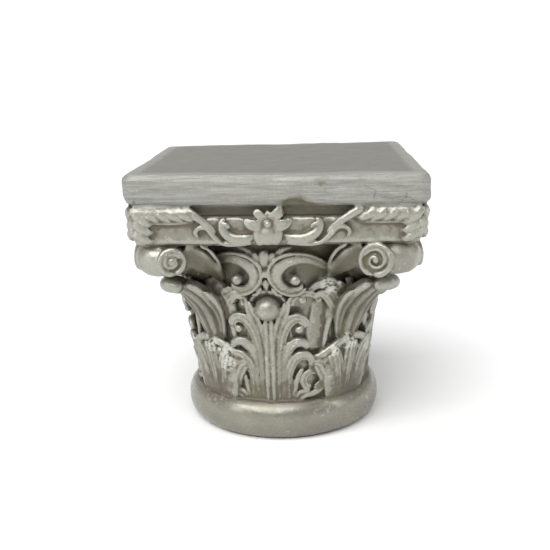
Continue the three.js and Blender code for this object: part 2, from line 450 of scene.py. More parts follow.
def ball(middle: Sequence[float], radius: float, stretch: Sequence[float] = (1, 1, 1)) -> bpy.types.Mesh:
    """A ball, or an egg where it is stretched.

    Args:
        middle: its middle.
        radius: its radius.
        stretch: its size along X, Y and Z as shares of the radius.

    Returns:
        A closed mesh.
    """
    rings, sides = 16, 24
    points = [(0.0, 0.0, 1.0)]
    for i in range(1, rings):
        fall = math.pi * i / rings
        for k in range(sides):
            turn = 2 * math.pi * k / sides
            across = math.sin(fall)
            points.append((across * math.cos(turn), across * math.sin(turn), math.cos(fall)))
    points.append((0.0, 0.0, -1.0))
    last = len(points) - 1
    faces = [(0, 1 + k, 1 + (k + 1) % sides) for k in range(sides)]
    for i in range(rings - 2):
        a, b = 1 + i * sides, 1 + (i + 1) * sides
        faces += [(a + k, b + k, b + (k + 1) % sides, a + (k + 1) % sides) for k in range(sides)]
    base = last - sides
    faces += [(base + (k + 1) % sides, base + k, last) for k in range(sides)]
    return mesh_of("ball", np.array(points) * radius * np.array(stretch) + np.array(middle), faces)


# Carved strokes -----------------------------------------------------------------------------------

Ground = Callable[[Array], tuple[Array, Array]]


def unit(vectors: Array) -> Array:
    """Each row brought to length 1."""
    return vectors / np.maximum(np.linalg.norm(vectors, axis=-1, keepdims=True), 1e-9)


@dataclass(frozen=True)
class BellGround:
    """Lays strokes on the bell: across is measured round it from centre, an angle."""

    bell: Bell
    centre: float

    def __call__(self, at: Array) -> tuple[Array, Array]:
        """Points and outward directions for rows of across, height, lift."""
        angle = self.centre + at[:, 0] / self.bell.radius(at[:, 1])
        points = self.bell.place(angle, at[:, 1], at[:, 2])
        slope = (self.bell.radius(at[:, 1] + 1.0) - self.bell.radius(at[:, 1] - 1.0)) / 2
        return points, unit(np.stack([np.sin(angle), -np.cos(angle), -0.6 * slope], axis=-1))


@dataclass(frozen=True)
class FrontGround:
    """Lays strokes on an upright plane that faces the front, across being X."""

    reach: float

    def __call__(self, at: Array) -> tuple[Array, Array]:
        """Points and outward directions for rows of across, height, lift."""
        points = np.stack([at[:, 0], -self.reach - at[:, 2], at[:, 1]], axis=-1)
        return points, np.tile([0.0, -1.0, 0.0], (len(at), 1))


@dataclass(frozen=True)
class CornerGround:
    """Lays strokes in the frame of the front right corner: rows of across, height, reach outwards."""

    lean: float = 0.0
    side: float = 0.0

    def __call__(self, at: Array) -> tuple[Array, Array]:
        """Points and outward directions for rows of across, height, reach."""
        outwards = np.array([1.0, -1.0, 0.0]) / math.sqrt(2)
        sideways = np.array([1.0, 1.0, 0.0]) / math.sqrt(2)
        points = at[:, 2:3] * outwards + at[:, 0:1] * sideways + at[:, 1:2] * np.array([0.0, 0.0, 1.0])
        out = outwards + self.side * sideways + np.array([0.0, 0.0, self.lean])
        return points, np.tile(unit(out), (len(at), 1))


@dataclass(frozen=True)
class FreeGround:
    """Takes rows of X, Y, Z as they are, with one outward direction for all."""

    out: tuple[float, float, float]

    def __call__(self, at: Array) -> tuple[Array, Array]:
        """The same points, and the outward direction."""
        return at, np.tile(unit(np.array(self.out, float)), (len(at), 1))


class Section(Enum):
    """A stroke's section: height above the ground, depth below and groove, as shares of its half width."""

    RIB = (0.95, 1.0, 0.0)
    LOBE = (0.7, 0.9, 0.0)
    CHANNEL = (0.72, 0.8, 0.42)
    LOW = (0.42, 0.7, 0.0)
    SHEET = (0.12, 0.3, 0.0)
    ROUND = (1.0, 1.0, 0.0)


@dataclass(frozen=True)
class Stroke:
    """One carved stroke: rows of three ground coordinates and a half width, with a section."""

    ground: Ground
    section: Section
    stations: tuple[tuple[float, float, float, float], ...]
    pointed: bool = True

    def line(self, spacing: float = 1.6) -> tuple[Array, Array, Array]:
        """The stroke's smooth middle line.

        Args:
            spacing: distance between its points.

        Returns:
            Its points, outward directions and half widths.
        """
        keys = np.array(self.stations, float)
        smooth = catmull(keys, 12)
        points, _ = self.ground(smooth[:, :3])
        run = np.append(0, np.cumsum(np.linalg.norm(np.diff(points, axis=0), axis=1)))
        count = max(5, int(run[-1] / spacing))
        even = np.linspace(0, run[-1], count)
        smooth = np.stack([np.interp(even, run, smooth[:, i]) for i in range(4)], axis=-1)
        points, out = self.ground(smooth[:, :3])
        along = unit(np.gradient(points, axis=0))
        out = unit(out - np.sum(out * along, axis=1, keepdims=True) * along)
        width = smooth[:, 3].copy()
        if self.pointed:
            share = even / even[-1]
            width *= np.sqrt(np.clip(1 - (1 - np.clip(share / 0.08, 0, 1)) ** 2, 0.02, 1))
            width *= np.sqrt(np.clip(1 - (1 - np.clip((1 - share) / 0.08, 0, 1)) ** 2, 0.02, 1))
        return points, out, width


def catmull(keys: Array, steps: int) -> Array:
    """A smooth line through rows of numbers.

    Args:
        keys: the rows it goes through.
        steps: how many points it has between two of them.

    Returns:
        Its rows.
    """
    padded = np.vstack([2 * keys[0] - keys[1], keys, 2 * keys[-1] - keys[-2]])
    t = np.linspace(0, 1, steps, endpoint=False)[:, None]
    rows = []
    for a, b, c, d in zip(padded, padded[1:], padded[2:], padded[3:]):
        square, cube = 2 * a - 5 * b + 4 * c - d, 3 * b - a - 3 * c + d
        rows.append(0.5 * (2 * b + (c - a) * t + square * t**2 + cube * t**3))
    return np.vstack([*rows, keys[-1:]])


class StrokeCutter:
    """Turns strokes into closed solids with one Geometry Nodes tree."""

    def __init__(self) -> None:
        """Builds the tree: a section swept along each line, sized by the line's own half width."""
        real, whole = "NodeSocketFloat", "NodeSocketInt"
        inputs = {"Height": (real, 1.0), "Depth": (real, 1.0), "Groove": (real, 0.0), "Sides": (whole, 18)}
        rule = GeometryRule("carved stroke", inputs)
        named = "GeometryNodeInputNamedAttribute"
        width = rule.add(named, {"data_type": "FLOAT"}, {"Name": "half_width"}).out()
        out = rule.add(named, {"data_type": "FLOAT_VECTOR"}, {"Name": "out"}).out()
        line = rule.add("GeometryNodeMeshToCurve", inputs={"Mesh": rule.start.out("Geometry")}).out()
        held = {"Curve": line, "Normal": out}
        line = rule.add("GeometryNodeSetCurveNormal", {"mode": "FREE"}, held).out()
        ring = rule.add("GeometryNodeCurvePrimitiveCircle", {"mode": "RADIUS"},
                        {"Resolution": rule.start.out("Sides"), "Radius": 1.0}).out()
        place = rule.add("ShaderNodeSeparateXYZ", inputs={0: rule.add("GeometryNodeInputPosition").out()})
        x, y = place.out("X"), place.out("Y")
        above = x.above(0.0)
        rise = x.at_least(0.0) * rule.start.out("Height") + x.at_most(0.0) * rule.start.out("Depth")
        dip = (1.0 - y * y * 1.5).at_least(0.0) * rule.start.out("Groove") * above
        shaped = rule.add("ShaderNodeCombineXYZ", inputs={"X": rise - dip, "Y": y}).out()
        ring = rule.add("GeometryNodeSetPosition", inputs={"Geometry": ring, "Position": shaped}).out()
        sweep = {"Curve": line, "Profile Curve": ring, "Scale": width, "Fill Caps": True}
        rule.close(rule.add("GeometryNodeCurveToMesh", inputs=sweep).out())
        self.rule = rule

    def cut(self, strokes: Sequence[Stroke]) -> list[bpy.types.Mesh]:
        """Sweeps the strokes.

        Args:
            strokes: strokes of any sections.

        Returns:
            One mesh of closed solids for each section among them.
        """
        meshes = []
        for section in Section:
            chosen = [stroke for stroke in strokes if stroke.section is section]
            if not chosen:
                continue
            points, outs, widths, edges = [], [], [], []
            for stroke in chosen:
                at, out, width = stroke.line()
                first = sum(len(p) for p in points)
                edges += [(first + i, first + i + 1) for i in range(len(at) - 1)]
                points.append(at)
                outs.append(out)
                widths.append(width)
            lines = mesh_of("lines", np.vstack(points), (), edges)
            half = lines.attributes.new("half_width", "FLOAT", "POINT")
            half.data.foreach_set("value", np.concatenate(widths) * MM)
            outward = lines.attributes.new("out", "FLOAT_VECTOR", "POINT")
            outward.data.foreach_set("vector", np.vstack(outs).ravel())
            height, depth, groove = section.value
            meshes.append(self.rule.run(lines, None, Height=height, Depth=depth, Groove=groove))
            bpy.data.meshes.remove(lines)
        return meshes


class QuarterTurns:
    """Repeats one side of the carving on the others with one Geometry Nodes tree."""

    def __init__(self) -> None:
        """Builds the tree: one instance for each side, turned by its number."""
        rule = GeometryRule("repeated round the axis", {"Count": ("NodeSocketInt", FACES)})
        count = rule.start.out("Count")
        row = {"Count": count, "Offset": (0, 0, 0)}
        spots = rule.add("GeometryNodeMeshLine", {"mode": "OFFSET"}, row).out()
        turn = rule.add("GeometryNodeInputIndex").out() * (2 * math.pi) / count
        spin = rule.add("ShaderNodeCombineXYZ", inputs={"Z": turn}).out()
        spin = rule.add("FunctionNodeEulerToRotation", inputs={0: spin}).out()
        placed = {"Points": spots, "Instance": rule.start.out("Geometry"), "Rotation": spin}
        rule.close(rule.add("GeometryNodeInstanceOnPoints", inputs=placed).out())
        self.rule = rule

    def repeat(self, side: bpy.types.Mesh) -> bpy.types.Mesh:
        """All the sides, from the front one."""
        return self.rule.run(side, None, Count=FACES)


# The carving --------------------------------------------------------------------------------------


@dataclass(frozen=True)
class Carving:
    """Part of the carving of one side, as strokes and as solids of its own."""

    bell: Bell

    @property
    def ground(self) -> BellGround:
        """The bell, measured from the middle of this side's carving."""
        return BellGround(self.bell, self.bell.motif_angle)

    def strokes(self) -> list[Stroke]:
        """The strokes of this part."""
        return []

    def solids(self) -> list[bpy.types.Mesh]:
        """The solids of this part that aren't strokes."""
        return []

    def dot(self, across: float, z: float, lift: float, radius: float) -> bpy.types.Mesh:
        """Puts a small ball on the bell.

        Args:
            across: how far it is from the side's middle.
            z: its height.
            lift: how far it stands off the bell.
            radius: its radius.

        Returns:
            The ball.
        """
        return ball(self.ground(np.array([[across, z, lift]]))[0][0], radius)

    def fluted(self, ground: Ground, rows: Sequence[Sequence[float]], flutes: int = 3) -> list[Stroke]:
        """A lobe of leaf: a full body with fine flutes side by side on it.

        Args:
            ground: what it lies on.
            rows: its middle line and half widths.
            flutes: how many flutes it has.

        Returns:
            The body and the flutes.
        """
        spread, rise = 0.68, Section.LOBE.value[0]
        keys = catmull(np.array(rows, float), 3)
        along = unit(np.gradient(keys[:, :2], axis=0))
        aside = np.stack([-along[:, 1], along[:, 0]], axis=-1)
        made = [Stroke(ground, Section.LOBE, tuple(map(tuple, keys)))]
        for place in np.linspace(-spread, spread, flutes):
            line = keys.copy()
            line[:, :2] += aside * (place * keys[:, 3:4])
            line[:, 2] += keys[:, 3] * (rise * math.sqrt(1 - place**2) - 0.08)
            line[:, 3] = np.maximum(keys[:, 3] * spread / (flutes - 1) * 0.82, 0.9)
            made.append(Stroke(ground, Section.RIB, tuple(map(tuple, line))))
        return made

    def stroke(self, section: Section, rows: Sequence[Sequence[float]], side: int = 1,
               ground: Ground | None = None) -> Stroke:
        """One stroke.

        Args:
            section: its section.
            rows: its middle line and half widths, for the side where across is positive.
            side: 1 for that side, -1 for the other.
            ground: what it lies on, the bell unless another is given.

        Returns:
            The stroke.
        """
        return Stroke(ground or self.ground, section, self.mirrored(side, rows))

    @staticmethod
    def mirrored(side: int, rows: Sequence[Sequence[float]]) -> tuple:
        """The rows on one side of the middle, or on the other where side is -1."""
        return tuple((side * row[0], *row[1:]) for row in rows)


@dataclass(frozen=True)
class FaceLeaf(Carving):
    """The acanthus leaf in the middle of a side, with the ball it carries."""

    ball_radius: float = 14.0
    ball_height: float = 160.0
    curl_middle: tuple[float, float] = (47.0, 70.0)
    curls: tuple[tuple[float, float, float], ...] = ((13.0, 2.7, 4.5), (8.8, 2.0, 5.0))
    lobes: tuple = (
        ((5.5, 44, 0, 2.4), (6, 76, 2, 3.2), (8, 118, 4, 4.0), (12.5, 143, 6, 4.4), (18, 158, 8, 4.2),
         (20.5, 169, 8, 3.2)),
        ((9, 44, 0, 2.6), (10, 75, 2, 3.4), (11, 102, 3, 4.4), (15, 128, 5, 5.6), (22, 144, 7, 6.4),
         (31, 149, 9, 6.2), (37.5, 143, 10, 5.2), (37, 135.5, 9, 4.2)),
        ((14, 44, 0, 2.6), (15, 72, 2, 3.6), (16, 95, 3, 4.8), (21, 111, 5, 6.0), (29, 118.5, 7, 6.2),
         (37, 117, 8.5, 5.2), (40.5, 110, 8, 3.8)),
        ((20, 44, 0, 2.8), (20, 62, 1, 3.6), (20.5, 80, 3, 4.6), (25, 94, 5, 5.6), (32, 102, 7, 5.8),
         (40, 101.5, 8, 5.0), (44, 94, 7.5, 4.0), (42, 88, 6.5, 3.0)),
    )

    def strokes(self) -> list[Stroke]:
        """The midrib, the fluted lobes on both sides of it, and the curls at its foot."""
        body = ((0, 42, -1, 24), (0, 80, 0, 26), (0, 112, 0, 27), (0, 135, 0, 24), (0, 152, 0, 14))
        made = [Stroke(self.ground, Section.SHEET, body)]
        for side in (1, -1):
            rib = ((3.2, 42, 2, 2.4), (3.0, 80, 5, 2.9), (3.0, 120, 6.5, 2.9), (3.2, 150, 6, 2.4))
            made.append(self.stroke(Section.RIB, rib, side))
            for lobe, flutes in zip(self.lobes, (2, 3, 4, 3)):
                made += self.fluted(self.ground, self.mirrored(side, lobe), flutes)
            across, height = self.curl_middle
            for reach, wide, lift in self.curls:
                curl = []
                for share in np.linspace(0, 1, 12):
                    turn = math.pi * (1.35 - 1.85 * share)
                    size = reach * (1 - 0.18 * share)
                    x, z = across + size * math.cos(turn), height + size * math.sin(turn)
                    curl.append((x, z, lift, wide * (1 - 0.3 * share)))
                made.append(self.stroke(Section.LOBE, ((27, 44, 0, 2.4), (31, 54, 3, wide), *curl), side))
            for rows in (
                ((31, 45, 1, 2.4), (38, 51, 4, 3.2), (49, 54, 5, 3.4), (60, 60, 4, 3.0),
                 (66, 72, 3, 2.2)),
                ((25, 44, 0, 2.2), (27, 60, 3, 2.8), (30, 76, 5, 2.8), (36, 86, 5.5, 2.4)),
                ((58, 60, 1, 2.2), (63, 74, 4, 3.0), (62, 88, 6, 3.0), (58, 96, 6, 2.4)),
                ((42, 84, 3, 3.0), (49, 91, 6, 3.8), (56, 98, 6, 4.4)),
            ):
                made.append(self.stroke(Section.LOBE, rows, side))
        return made

    def solids(self) -> list[bpy.types.Mesh]:
        """The ball, the small balls in the lobes' curls and the buds."""
        made = [self.dot(0, self.ball_height, 6.5, self.ball_radius)]
        for side in (1, -1):
            made.append(self.dot(side * 31.5, 134.5, 9.0, 4.8))
            made.append(self.dot(side * 59, 101, 6, 6.0))
        return made


@dataclass(frozen=True)
class Helices(Carving):
    """The two inner scrolls that spring towards each other over the ball, their eyes and the bits between."""

    def strokes(self) -> list[Stroke]:
        """The broad bands with their rims, the cup between them and the crumbs of leaf round the ball."""
        made = []
        for side in (1, -1):
            band = ((74, 199, 0, 3), (62, 209, 3, 4.6), (48, 217, 5, 5.6), (34, 219.5, 6, 6.4),
                    (20, 215, 7, 7.2), (11.5, 204.5, 7, 7.8), (12.5, 191.5, 7, 7.0), (22, 183, 7, 5.2),
                    (33, 183.5, 8, 3.8), (38, 190, 8, 2.8))
            rim = ((77, 201, 2, 1.6), (62, 214, 7, 1.9), (46, 223.5, 9.5, 2.0), (30, 226.5, 10.5, 2.1),
                   (15, 222.5, 11, 2.2), (5, 211, 11, 2.2), (4, 198, 11, 2.1), (10, 186, 11, 2.0),
                   (21, 178, 10.5, 2.0), (34, 178.5, 10.5, 1.9), (42, 187, 10, 1.6))
            for rows, section in ((band, Section.LOBE), (rim, Section.ROUND)):
                made.append(self.stroke(section, rows, side))
            arch = []
            for share in np.linspace(0, 1, 9):
                turn = math.pi * (1.1 - 1.15 * share)
                across, height = side * (39 + 15 * math.cos(turn)), 166 + 12 * math.sin(turn)
                arch.append((across, height, 7, 3.6 - 0.9 * share))
            made += self.fluted(self.ground, arch, 2)
            halo = []
            for share in np.linspace(0, 1, 8):
                turn = math.pi * (0.5 - side * 0.42 * share)
                halo.append((20 * math.cos(turn), 161 + 19 * math.sin(turn), 4, 2.6))
            made.append(Stroke(self.ground, Section.RIB, tuple(halo)))
            for rows in (
                ((2, 210, 5, 2.5), (7, 220, 8, 3.4), (10, 228, 8, 2.4)),
                ((10, 222, 6, 2.0), (18, 230, 6, 3.0), (30, 233, 4, 2.0)),
                ((2, 195, 6, 1.8), (7, 189, 7, 2.6), (12, 181, 5, 1.8)),
                ((5, 186, 6, 1.6), (10, 178, 7, 2.4), (17, 176, 6, 1.8)),
            ):
                made.append(self.stroke(Section.LOBE, rows, side))
            for rows in (
                ((42, 174, 3, 2.6), (50, 184, 6, 4.0), (62, 189, 7, 4.6), (74, 186, 6, 4.0),
                 (82, 178, 4, 2.6)),
                ((54, 168, 2, 2.4), (60, 177, 5, 3.8), (70, 180, 6, 4.2), (80, 174, 5, 3.0),
                 (85, 166, 3, 2.0)),
            ):
                made += self.fluted(self.ground, self.mirrored(side, rows), 3)
        bud = ((0, 210, 4, 4), (0, 217, 7, 5), (0, 225, 7, 5.5), (0, 231, 4, 4))
        made.append(self.stroke(Section.ROUND, bud))
        drop = ((0, 197, 7, 2.0), (0, 190, 8, 3.2), (0, 181, 6, 2.0))
        made.append(self.stroke(Section.RIB, drop))
        return made

    def solids(self) -> list[bpy.types.Mesh]:
        """The eyes of the scrolls, the bead between them and the eyes of the lower curls."""
        made = [self.dot(0, 203, 10, 4.6)]
        for side in (1, -1):
            made.append(self.dot(side * 30, 195, 9, 6.4))
            made.append(self.dot(side * 36.5, 169.5, 8, 4.8))
        return made


@dataclass(frozen=True)
class Calyx(Carving):
    """The fans of leaf between the middle of a side and its corners, under the scrolls."""

    corner_angle: float = math.pi / 4
    blades: int = 4

    def strokes(self) -> list[Stroke]:
        """A fan of blades over a smooth stem on each side."""
        made = []
        for side in (1, -1):
            ground = BellGround(self.bell, side * self.corner_angle)
            for number in range(self.blades):
                share = number / (self.blades - 1)
                rows = (
                    (11 + 7 * share, 134 - 2 * share, 3, 2.6),
                    (12 + 14 * share, 155 - 3 * share, 6, 4.4),
                    (12 + 24 * share, 173 - 5 * share, 9, 5.4),
                    (15 + 30 * share, 187 - 11 * share, 10, 4.6),
                    (21 + 32 * share, 190 - 17 * share, 9, 3.0),
                )
                made += self.fluted(ground, self.mirrored(-side, rows), 3)
            ridge = ((33, 100, 2, 3), (32, 122, 4, 3.6), (30, 142, 5, 3.4), (27, 160, 5, 2.4))
            made.append(self.stroke(Section.RIB, ridge, -side, ground))
            panel = ((44, 104, 1, 8), (44, 128, 1, 10), (42, 150, 1, 10), (42, 166, 1, 8))
            made.append(self.stroke(Section.SHEET, panel, -side, ground))
            inner = ((10, 112, 2, 8), (10, 135, 4, 9), (13, 156, 4, 7))
            made.append(self.stroke(Section.LOW, inner, -side, ground))
        return made


@dataclass(frozen=True)
class CornerLeaf(Carving):
    """The leaf at a corner: a fluted foot with a crusted edge, and a tongue that leans out under the roll."""

    foot_rows: tuple = (
        (0.0, ((0, 45, 0, 6.0), (0, 70, 3, 9.0), (0, 92, 6, 10.5), (0, 108, 9, 9.5), (0, 112, 13, 6.0))),
        (1.0, ((10, 45, 0, 5.6), (14, 68, 3, 8.4), (18.5, 88, 6, 9.8), (24, 101, 9, 9.0),
               (28, 103, 12, 5.6))),
        (2.0, ((20, 45, 0, 4.6), (27, 64, 2, 6.8), (34, 80, 5, 7.6), (40, 90, 7, 6.8), (45, 90, 9, 4.6))),
    )

    def strokes(self) -> list[Stroke]:
        """The fluted foot, its curled edge, the leaning tongue with its veins, and the curled tip."""
        ground = BellGround(self.bell, math.pi / 4)
        sheet = ((0, 42, 1, 30), (0, 70, 4, 35), (0, 94, 5, 34), (0, 110, 2, 26))
        made = [Stroke(ground, Section.SHEET, sheet)]
        for place, rows in self.foot_rows:
            for side in (1, -1) if place else (1,):
                made += self.fluted(ground, self.mirrored(side, rows), 4 if place < 2 else 3)
        for side in (1, -1):
            lip = ((2, 113, 9, 4), (12, 114, 10, 5.0), (26, 107, 10, 4.6), (38, 99, 8, 3.8),
                   (50, 98, 5, 2.6))
            made.append(self.stroke(Section.LOBE, lip, side, ground))
            fold = ((14, 104, 5, 4), (24, 98, 8, 6), (36, 92, 8, 5), (44, 84, 5, 3.5))
            made.append(self.stroke(Section.LOBE, fold, side, ground))
        corner = CornerGround(lean=-0.5)
        for place, wide in ((0.0, 8.5), (13.0, 7.5), (-13.0, 7.5)):
            back = abs(place) * 0.35
            tongue = ((place * 0.5, 100, 101 - back, wide * 0.8), (place * 0.8, 130, 110 - back, wide),
                      (place, 154, 120 - back, wide * 1.1), (place * 1.15, 173, 136 - back, wide * 1.15),
                      (place * 1.2, 185, 151 - back, wide * 1.1),
                      (place * 1.15, 190.5, 163 - back, wide * 0.85))
            made += self.fluted(corner, tongue, 2)
        tip = ((-15, 186, 160, 5.0), (-8, 189, 167, 7.6), (0, 190, 170.5, 8.6), (8, 189, 168.5, 8.0),
               (16, 186, 163.5, 6.0))
        made.append(Stroke(CornerGround(), Section.ROUND, tip))
        for side in (1, -1):
            edge = ((13, 112, 104, 3), (20, 138, 111, 4.4), (26, 157, 120, 5.2), (28, 172, 132, 5.0),
                    (25, 180, 142, 3.4))
            made += self.fluted(CornerGround(lean=-0.4, side=side * 0.8), self.mirrored(side, edge), 2)
            hook = ((22, 116, 101, 3), (30 + side, 134, 105, 4.2), (35 + 2.5 * side, 152, 110, 5.2),
                    (35 + 3 * side, 168, 116, 5.4), (31 + 3 * side, 181, 124, 4.0))
            made.append(self.stroke(Section.LOBE, hook, side, CornerGround(lean=-0.3, side=side * 0.9)))
        return made


@dataclass(frozen=True)
class Volutes(Carving):
    """The scrolls at the corners: a smooth roll at each corner with a dished spiral face on each side."""

    height: float = 221.5
    left: float = -111.0
    right: float = 103.0
    reach: float = 149.5
    right_eye: float = 18.6
    left_eye: float = 15.4
    turns: float = 1.45
    mass: tuple[tuple[float, float, float], ...] = (
        (166, 222, 17), (150, 218, 20), (134, 214, 22), (120, 202, 18), (150, 232, 17),
    )

    def strokes(self) -> list[Stroke]:
        """Both spirals of a side with the stems that carry them, and the roll of the right corner."""
        made = []
        for side, middle, eye in ((1, self.right, self.right_eye), (-1, self.left, self.left_eye)):
            face = unit(np.array([-0.22 * side, -0.97, 0.08]))
            across = unit(np.cross([0, 0, 1], face))
            up = np.cross(face, across)
            centre = np.array([middle, -self.reach, self.height])
            ground = FreeGround(tuple(face))
            rim, spiral = [], []
            for share in np.linspace(0, 1, 26):
                turn = math.pi * (-0.55 + 2.0 * share)
                at = centre + (eye - 2.8) * (side * math.cos(turn) * across + math.sin(turn) * up)
                rim.append((*(at + 0.6 * face), 3.5 - 0.5 * share))
            for share in np.linspace(0, 1, 30):
                turn = math.pi * 0.9 - 2 * math.pi * self.turns * share
                radius = (eye - 7.1) * (1 - share) ** 0.8 + 1.0
                at = centre + radius * (side * math.cos(turn) * across + math.sin(turn) * up)
                spiral.append((*(at + (2.2 + 1.4 * share) * face), 1.9 - 0.3 * share))
            made.append(Stroke(ground, Section.ROUND, tuple(rim)))
            made.append(Stroke(ground, Section.ROUND, tuple(spiral)))
            drum = [(*(centre - 34 * face + np.array([side * 8, 0, 0])), 20.0),
                    (*(centre - 18 * face), 18.5),
                    (*(centre - 4.0 * face), eye - 0.5),
                    (*(centre + 0.8 * face), eye - 3.0)]
            made.append(Stroke(FreeGround((0, 0, 1)), Section.ROUND, tuple(drum), pointed=False))
            away = middle - side * 108
            stem = ((side * 62 + away, -96, 190, 6), (side * 66 + away, -110, 200, 9),
                    (side * 73 + away, -124, 211, 11.5), (side * 84 + away, -134, 222, 13),
                    (side * 98 + away, -139, 229, 11))
            made.append(Stroke(FreeGround((0.35 * side, -1, 0.1)), Section.CHANNEL, stem, pointed=False))
            thin = ((side * 60 + away, -113, 198, 1.6), (side * 60 + away, -126, 212, 2.1),
                    (side * 63 + away, -136, 223, 2.2), (side * 70 + away, -142, 233, 2.0),
                    (side * 79 + away, -145, 238, 1.7))
            made.append(Stroke(FreeGround((0, -1, 0.2)), Section.ROUND, thin))
        corner = CornerGround()
        high = self.height + 0.5
        roll = ((-25, high, 171, 14.0), (-12, high, 181, 18.0), (0, high, 185.5, 19.5),
                (12, high, 181, 18.0), (25, high, 171, 14.0))
        made.append(Stroke(corner, Section.ROUND, roll))
        return made

    def solids(self) -> list[bpy.types.Mesh]:
        """The mass behind the roll, which joins it to the bell, and the drop in the middle of each spiral."""
        outwards = np.array([1, -1, 0]) / math.sqrt(2)
        made = []
        for reach, z, radius in self.mass:
            made.append(ball(outwards * reach + np.array([0, 0, z]), radius))
        for side, middle in ((1, self.right), (-1, self.left)):
            made.append(ball((middle, -self.reach - 3.2, self.height), 3.2, (1, 0.7, 1.1)))
        return made


@dataclass(frozen=True)
class AbacusCarving(Carving):
    """What is carved on one side of the abacus: flower, cup, scrolls, and a twisted leaf to each corner."""

    half: float = 151.0
    middle: float = -9.0
    strands: int = 5
    petals: tuple = (
        ((-2, 263, 2, 2.5), (-10, 261.5, 5, 5.6), (-18, 263, 5, 5.8), (-25.5, 268.5, 2, 2.2)),
        ((2, 263, 2, 2.5), (10, 261.5, 5, 5.6), (18, 263, 5, 5.8), (25.5, 269, 2, 2.2)),
        ((1.5, 265, 2, 2.2), (6, 270.5, 4.5, 5.0), (12, 275.5, 5, 5.8), (16, 280, 3, 3.8)),
        ((-1.5, 265, 2, 2.0), (-5, 269.5, 4.5, 4.0), (-10, 274, 5, 4.6), (-13, 279, 3, 3.0)),
        ((0, 266, 2, 1.8), (0.5, 272, 4, 2.8), (0, 278, 3, 2.4)),
    )

    def strokes(self) -> list[Stroke]:
        """Lays out one side of the abacus.

        Returns:
            The flower and its cup, the scrolls, the twisted leaf and its turn down at the corner.
        """
        ground = FrontGround(self.half)
        made = []
        for petal in self.petals:
            rows = tuple((self.middle + row[0], *row[1:]) for row in petal)
            made.append(Stroke(ground, Section.CHANNEL, rows))
        for place, wide in ((-8.5, 6.6), (0.0, 8.6), (8.5, 6.6)):
            cup = ((self.middle + 0.9 * place, 260, 1, wide * 0.8),
                   (self.middle + 1.1 * place, 255, 2.6, wide), (self.middle + place, 248, 3.4, wide),
                   (self.middle + 0.7 * place, 240, 1.5, wide * 0.8))
            made.append(Stroke(ground, Section.LOBE, cup))
        for side in (1, -1):
            scroll = ((16, 250, 0.5, 3.4), (25, 246.5, 2.0, 5.6), (36, 246.5, 2.5, 6.2),
                      (46, 251.5, 2.5, 5.6), (51, 259, 2.5, 4.4), (50.5, 266, 2, 3.0), (46, 269, 2, 2.2))
            hook = ((51, 262, 3, 2.0), (45, 262.5, 4, 2.4), (42, 257.5, 4, 1.8))
            wave = ((17, 241.5, 1, 1.8), (34, 240.6, 2.5, 2.4), (50, 242, 3.5, 2.6), (60, 250, 4, 3.0),
                    (67, 258.5, 3.5, 3.0), (75, 259.5, 3.5, 2.8), (80, 254, 3, 2.6), (77, 247.5, 3, 2.2))
            stem = ((57, 252, 2, 2.4), (66, 262, 4, 3.6), (77, 270, 4.5, 4.4), (88, 277, 3, 4.4),
                    (94, 281, 1, 3.0))
            body = ((80, 271, -3, 5), (95, 273.5, -1.5, 8.5), (115, 274.5, -0.3, 9.5),
                    (133, 274, -0.3, 10.5), (147, 269, -0.8, 11.5))
            lobes = ((scroll, Section.LOBE), (hook, Section.LOBE), (wave, Section.ROUND),
                     (stem, Section.LOBE), (body, Section.LOBE))
            for rows, section in lobes:
                shifts = [self.middle * (1 - abs(row[0]) / 150) for row in rows]
                placed = tuple((shift + side * row[0], *row[1:]) for shift, row in zip(shifts, rows))
                made.append(Stroke(ground, section, placed))
            for number in range(self.strands):
                start = 84 + 11.8 * number
                rows = ((start, 267.0, 1, 2.4), (start + 6, 269.5, 3.8, 4.2),
                        (start + 13, 274.0, 4.6, 4.7), (start + 19, 280.0, 2.0, 3.4))
                made.append(self.stroke(Section.LOBE, rows, side, ground))
                fine = ((start + 5, 266.0, 2, 1.2), (start + 11, 269.5, 5.4, 1.6),
                        (start + 18, 275.0, 5.4, 1.6), (start + 22, 280.0, 2.5, 1.2))
                made.append(self.stroke(Section.RIB, fine, side, ground))
            under = ((84, 265.5, 0, 1.6), (110, 264, 1.5, 2.0), (134, 264.5, 1.5, 1.8))
            made.append(self.stroke(Section.RIB, under, side, ground))
            for number in range(3):
                z = 271 - 9.5 * number
                rows = ((129, z - 9, 0.5, 2.6), (137, z - 5, 3.5, 4.6), (145, z + 1, 3.0, 4.8),
                        (150, z + 6, -1.0, 3.0))
                made.append(self.stroke(Section.LOBE, rows, side, ground))
        diagonal = CornerGround()
        for across, wide in ((0.0, 5.6), (8.0, 5.4), (-8.0, 5.4)):
            back = abs(across)
            rows = ((across * 0.8, 280, 197 - back * 0.4, wide * 0.7),
                    (across, 268, 208.5 - back * 0.5, wide),
                    (across, 254, 209.5 - back * 0.5, wide),
                    (across * 0.7, 240, 202 - back * 0.5, wide * 0.7))
            made.append(Stroke(diagonal, Section.RIB, rows))
        return made

    def solids(self) -> list[bpy.types.Mesh]:
        """The flower's button."""
        return [ball((self.middle, -self.half - 5.5, 263), 3.8, (1, 0.8, 1))]


# The skin of the casting --------------------------------------------------------------------------


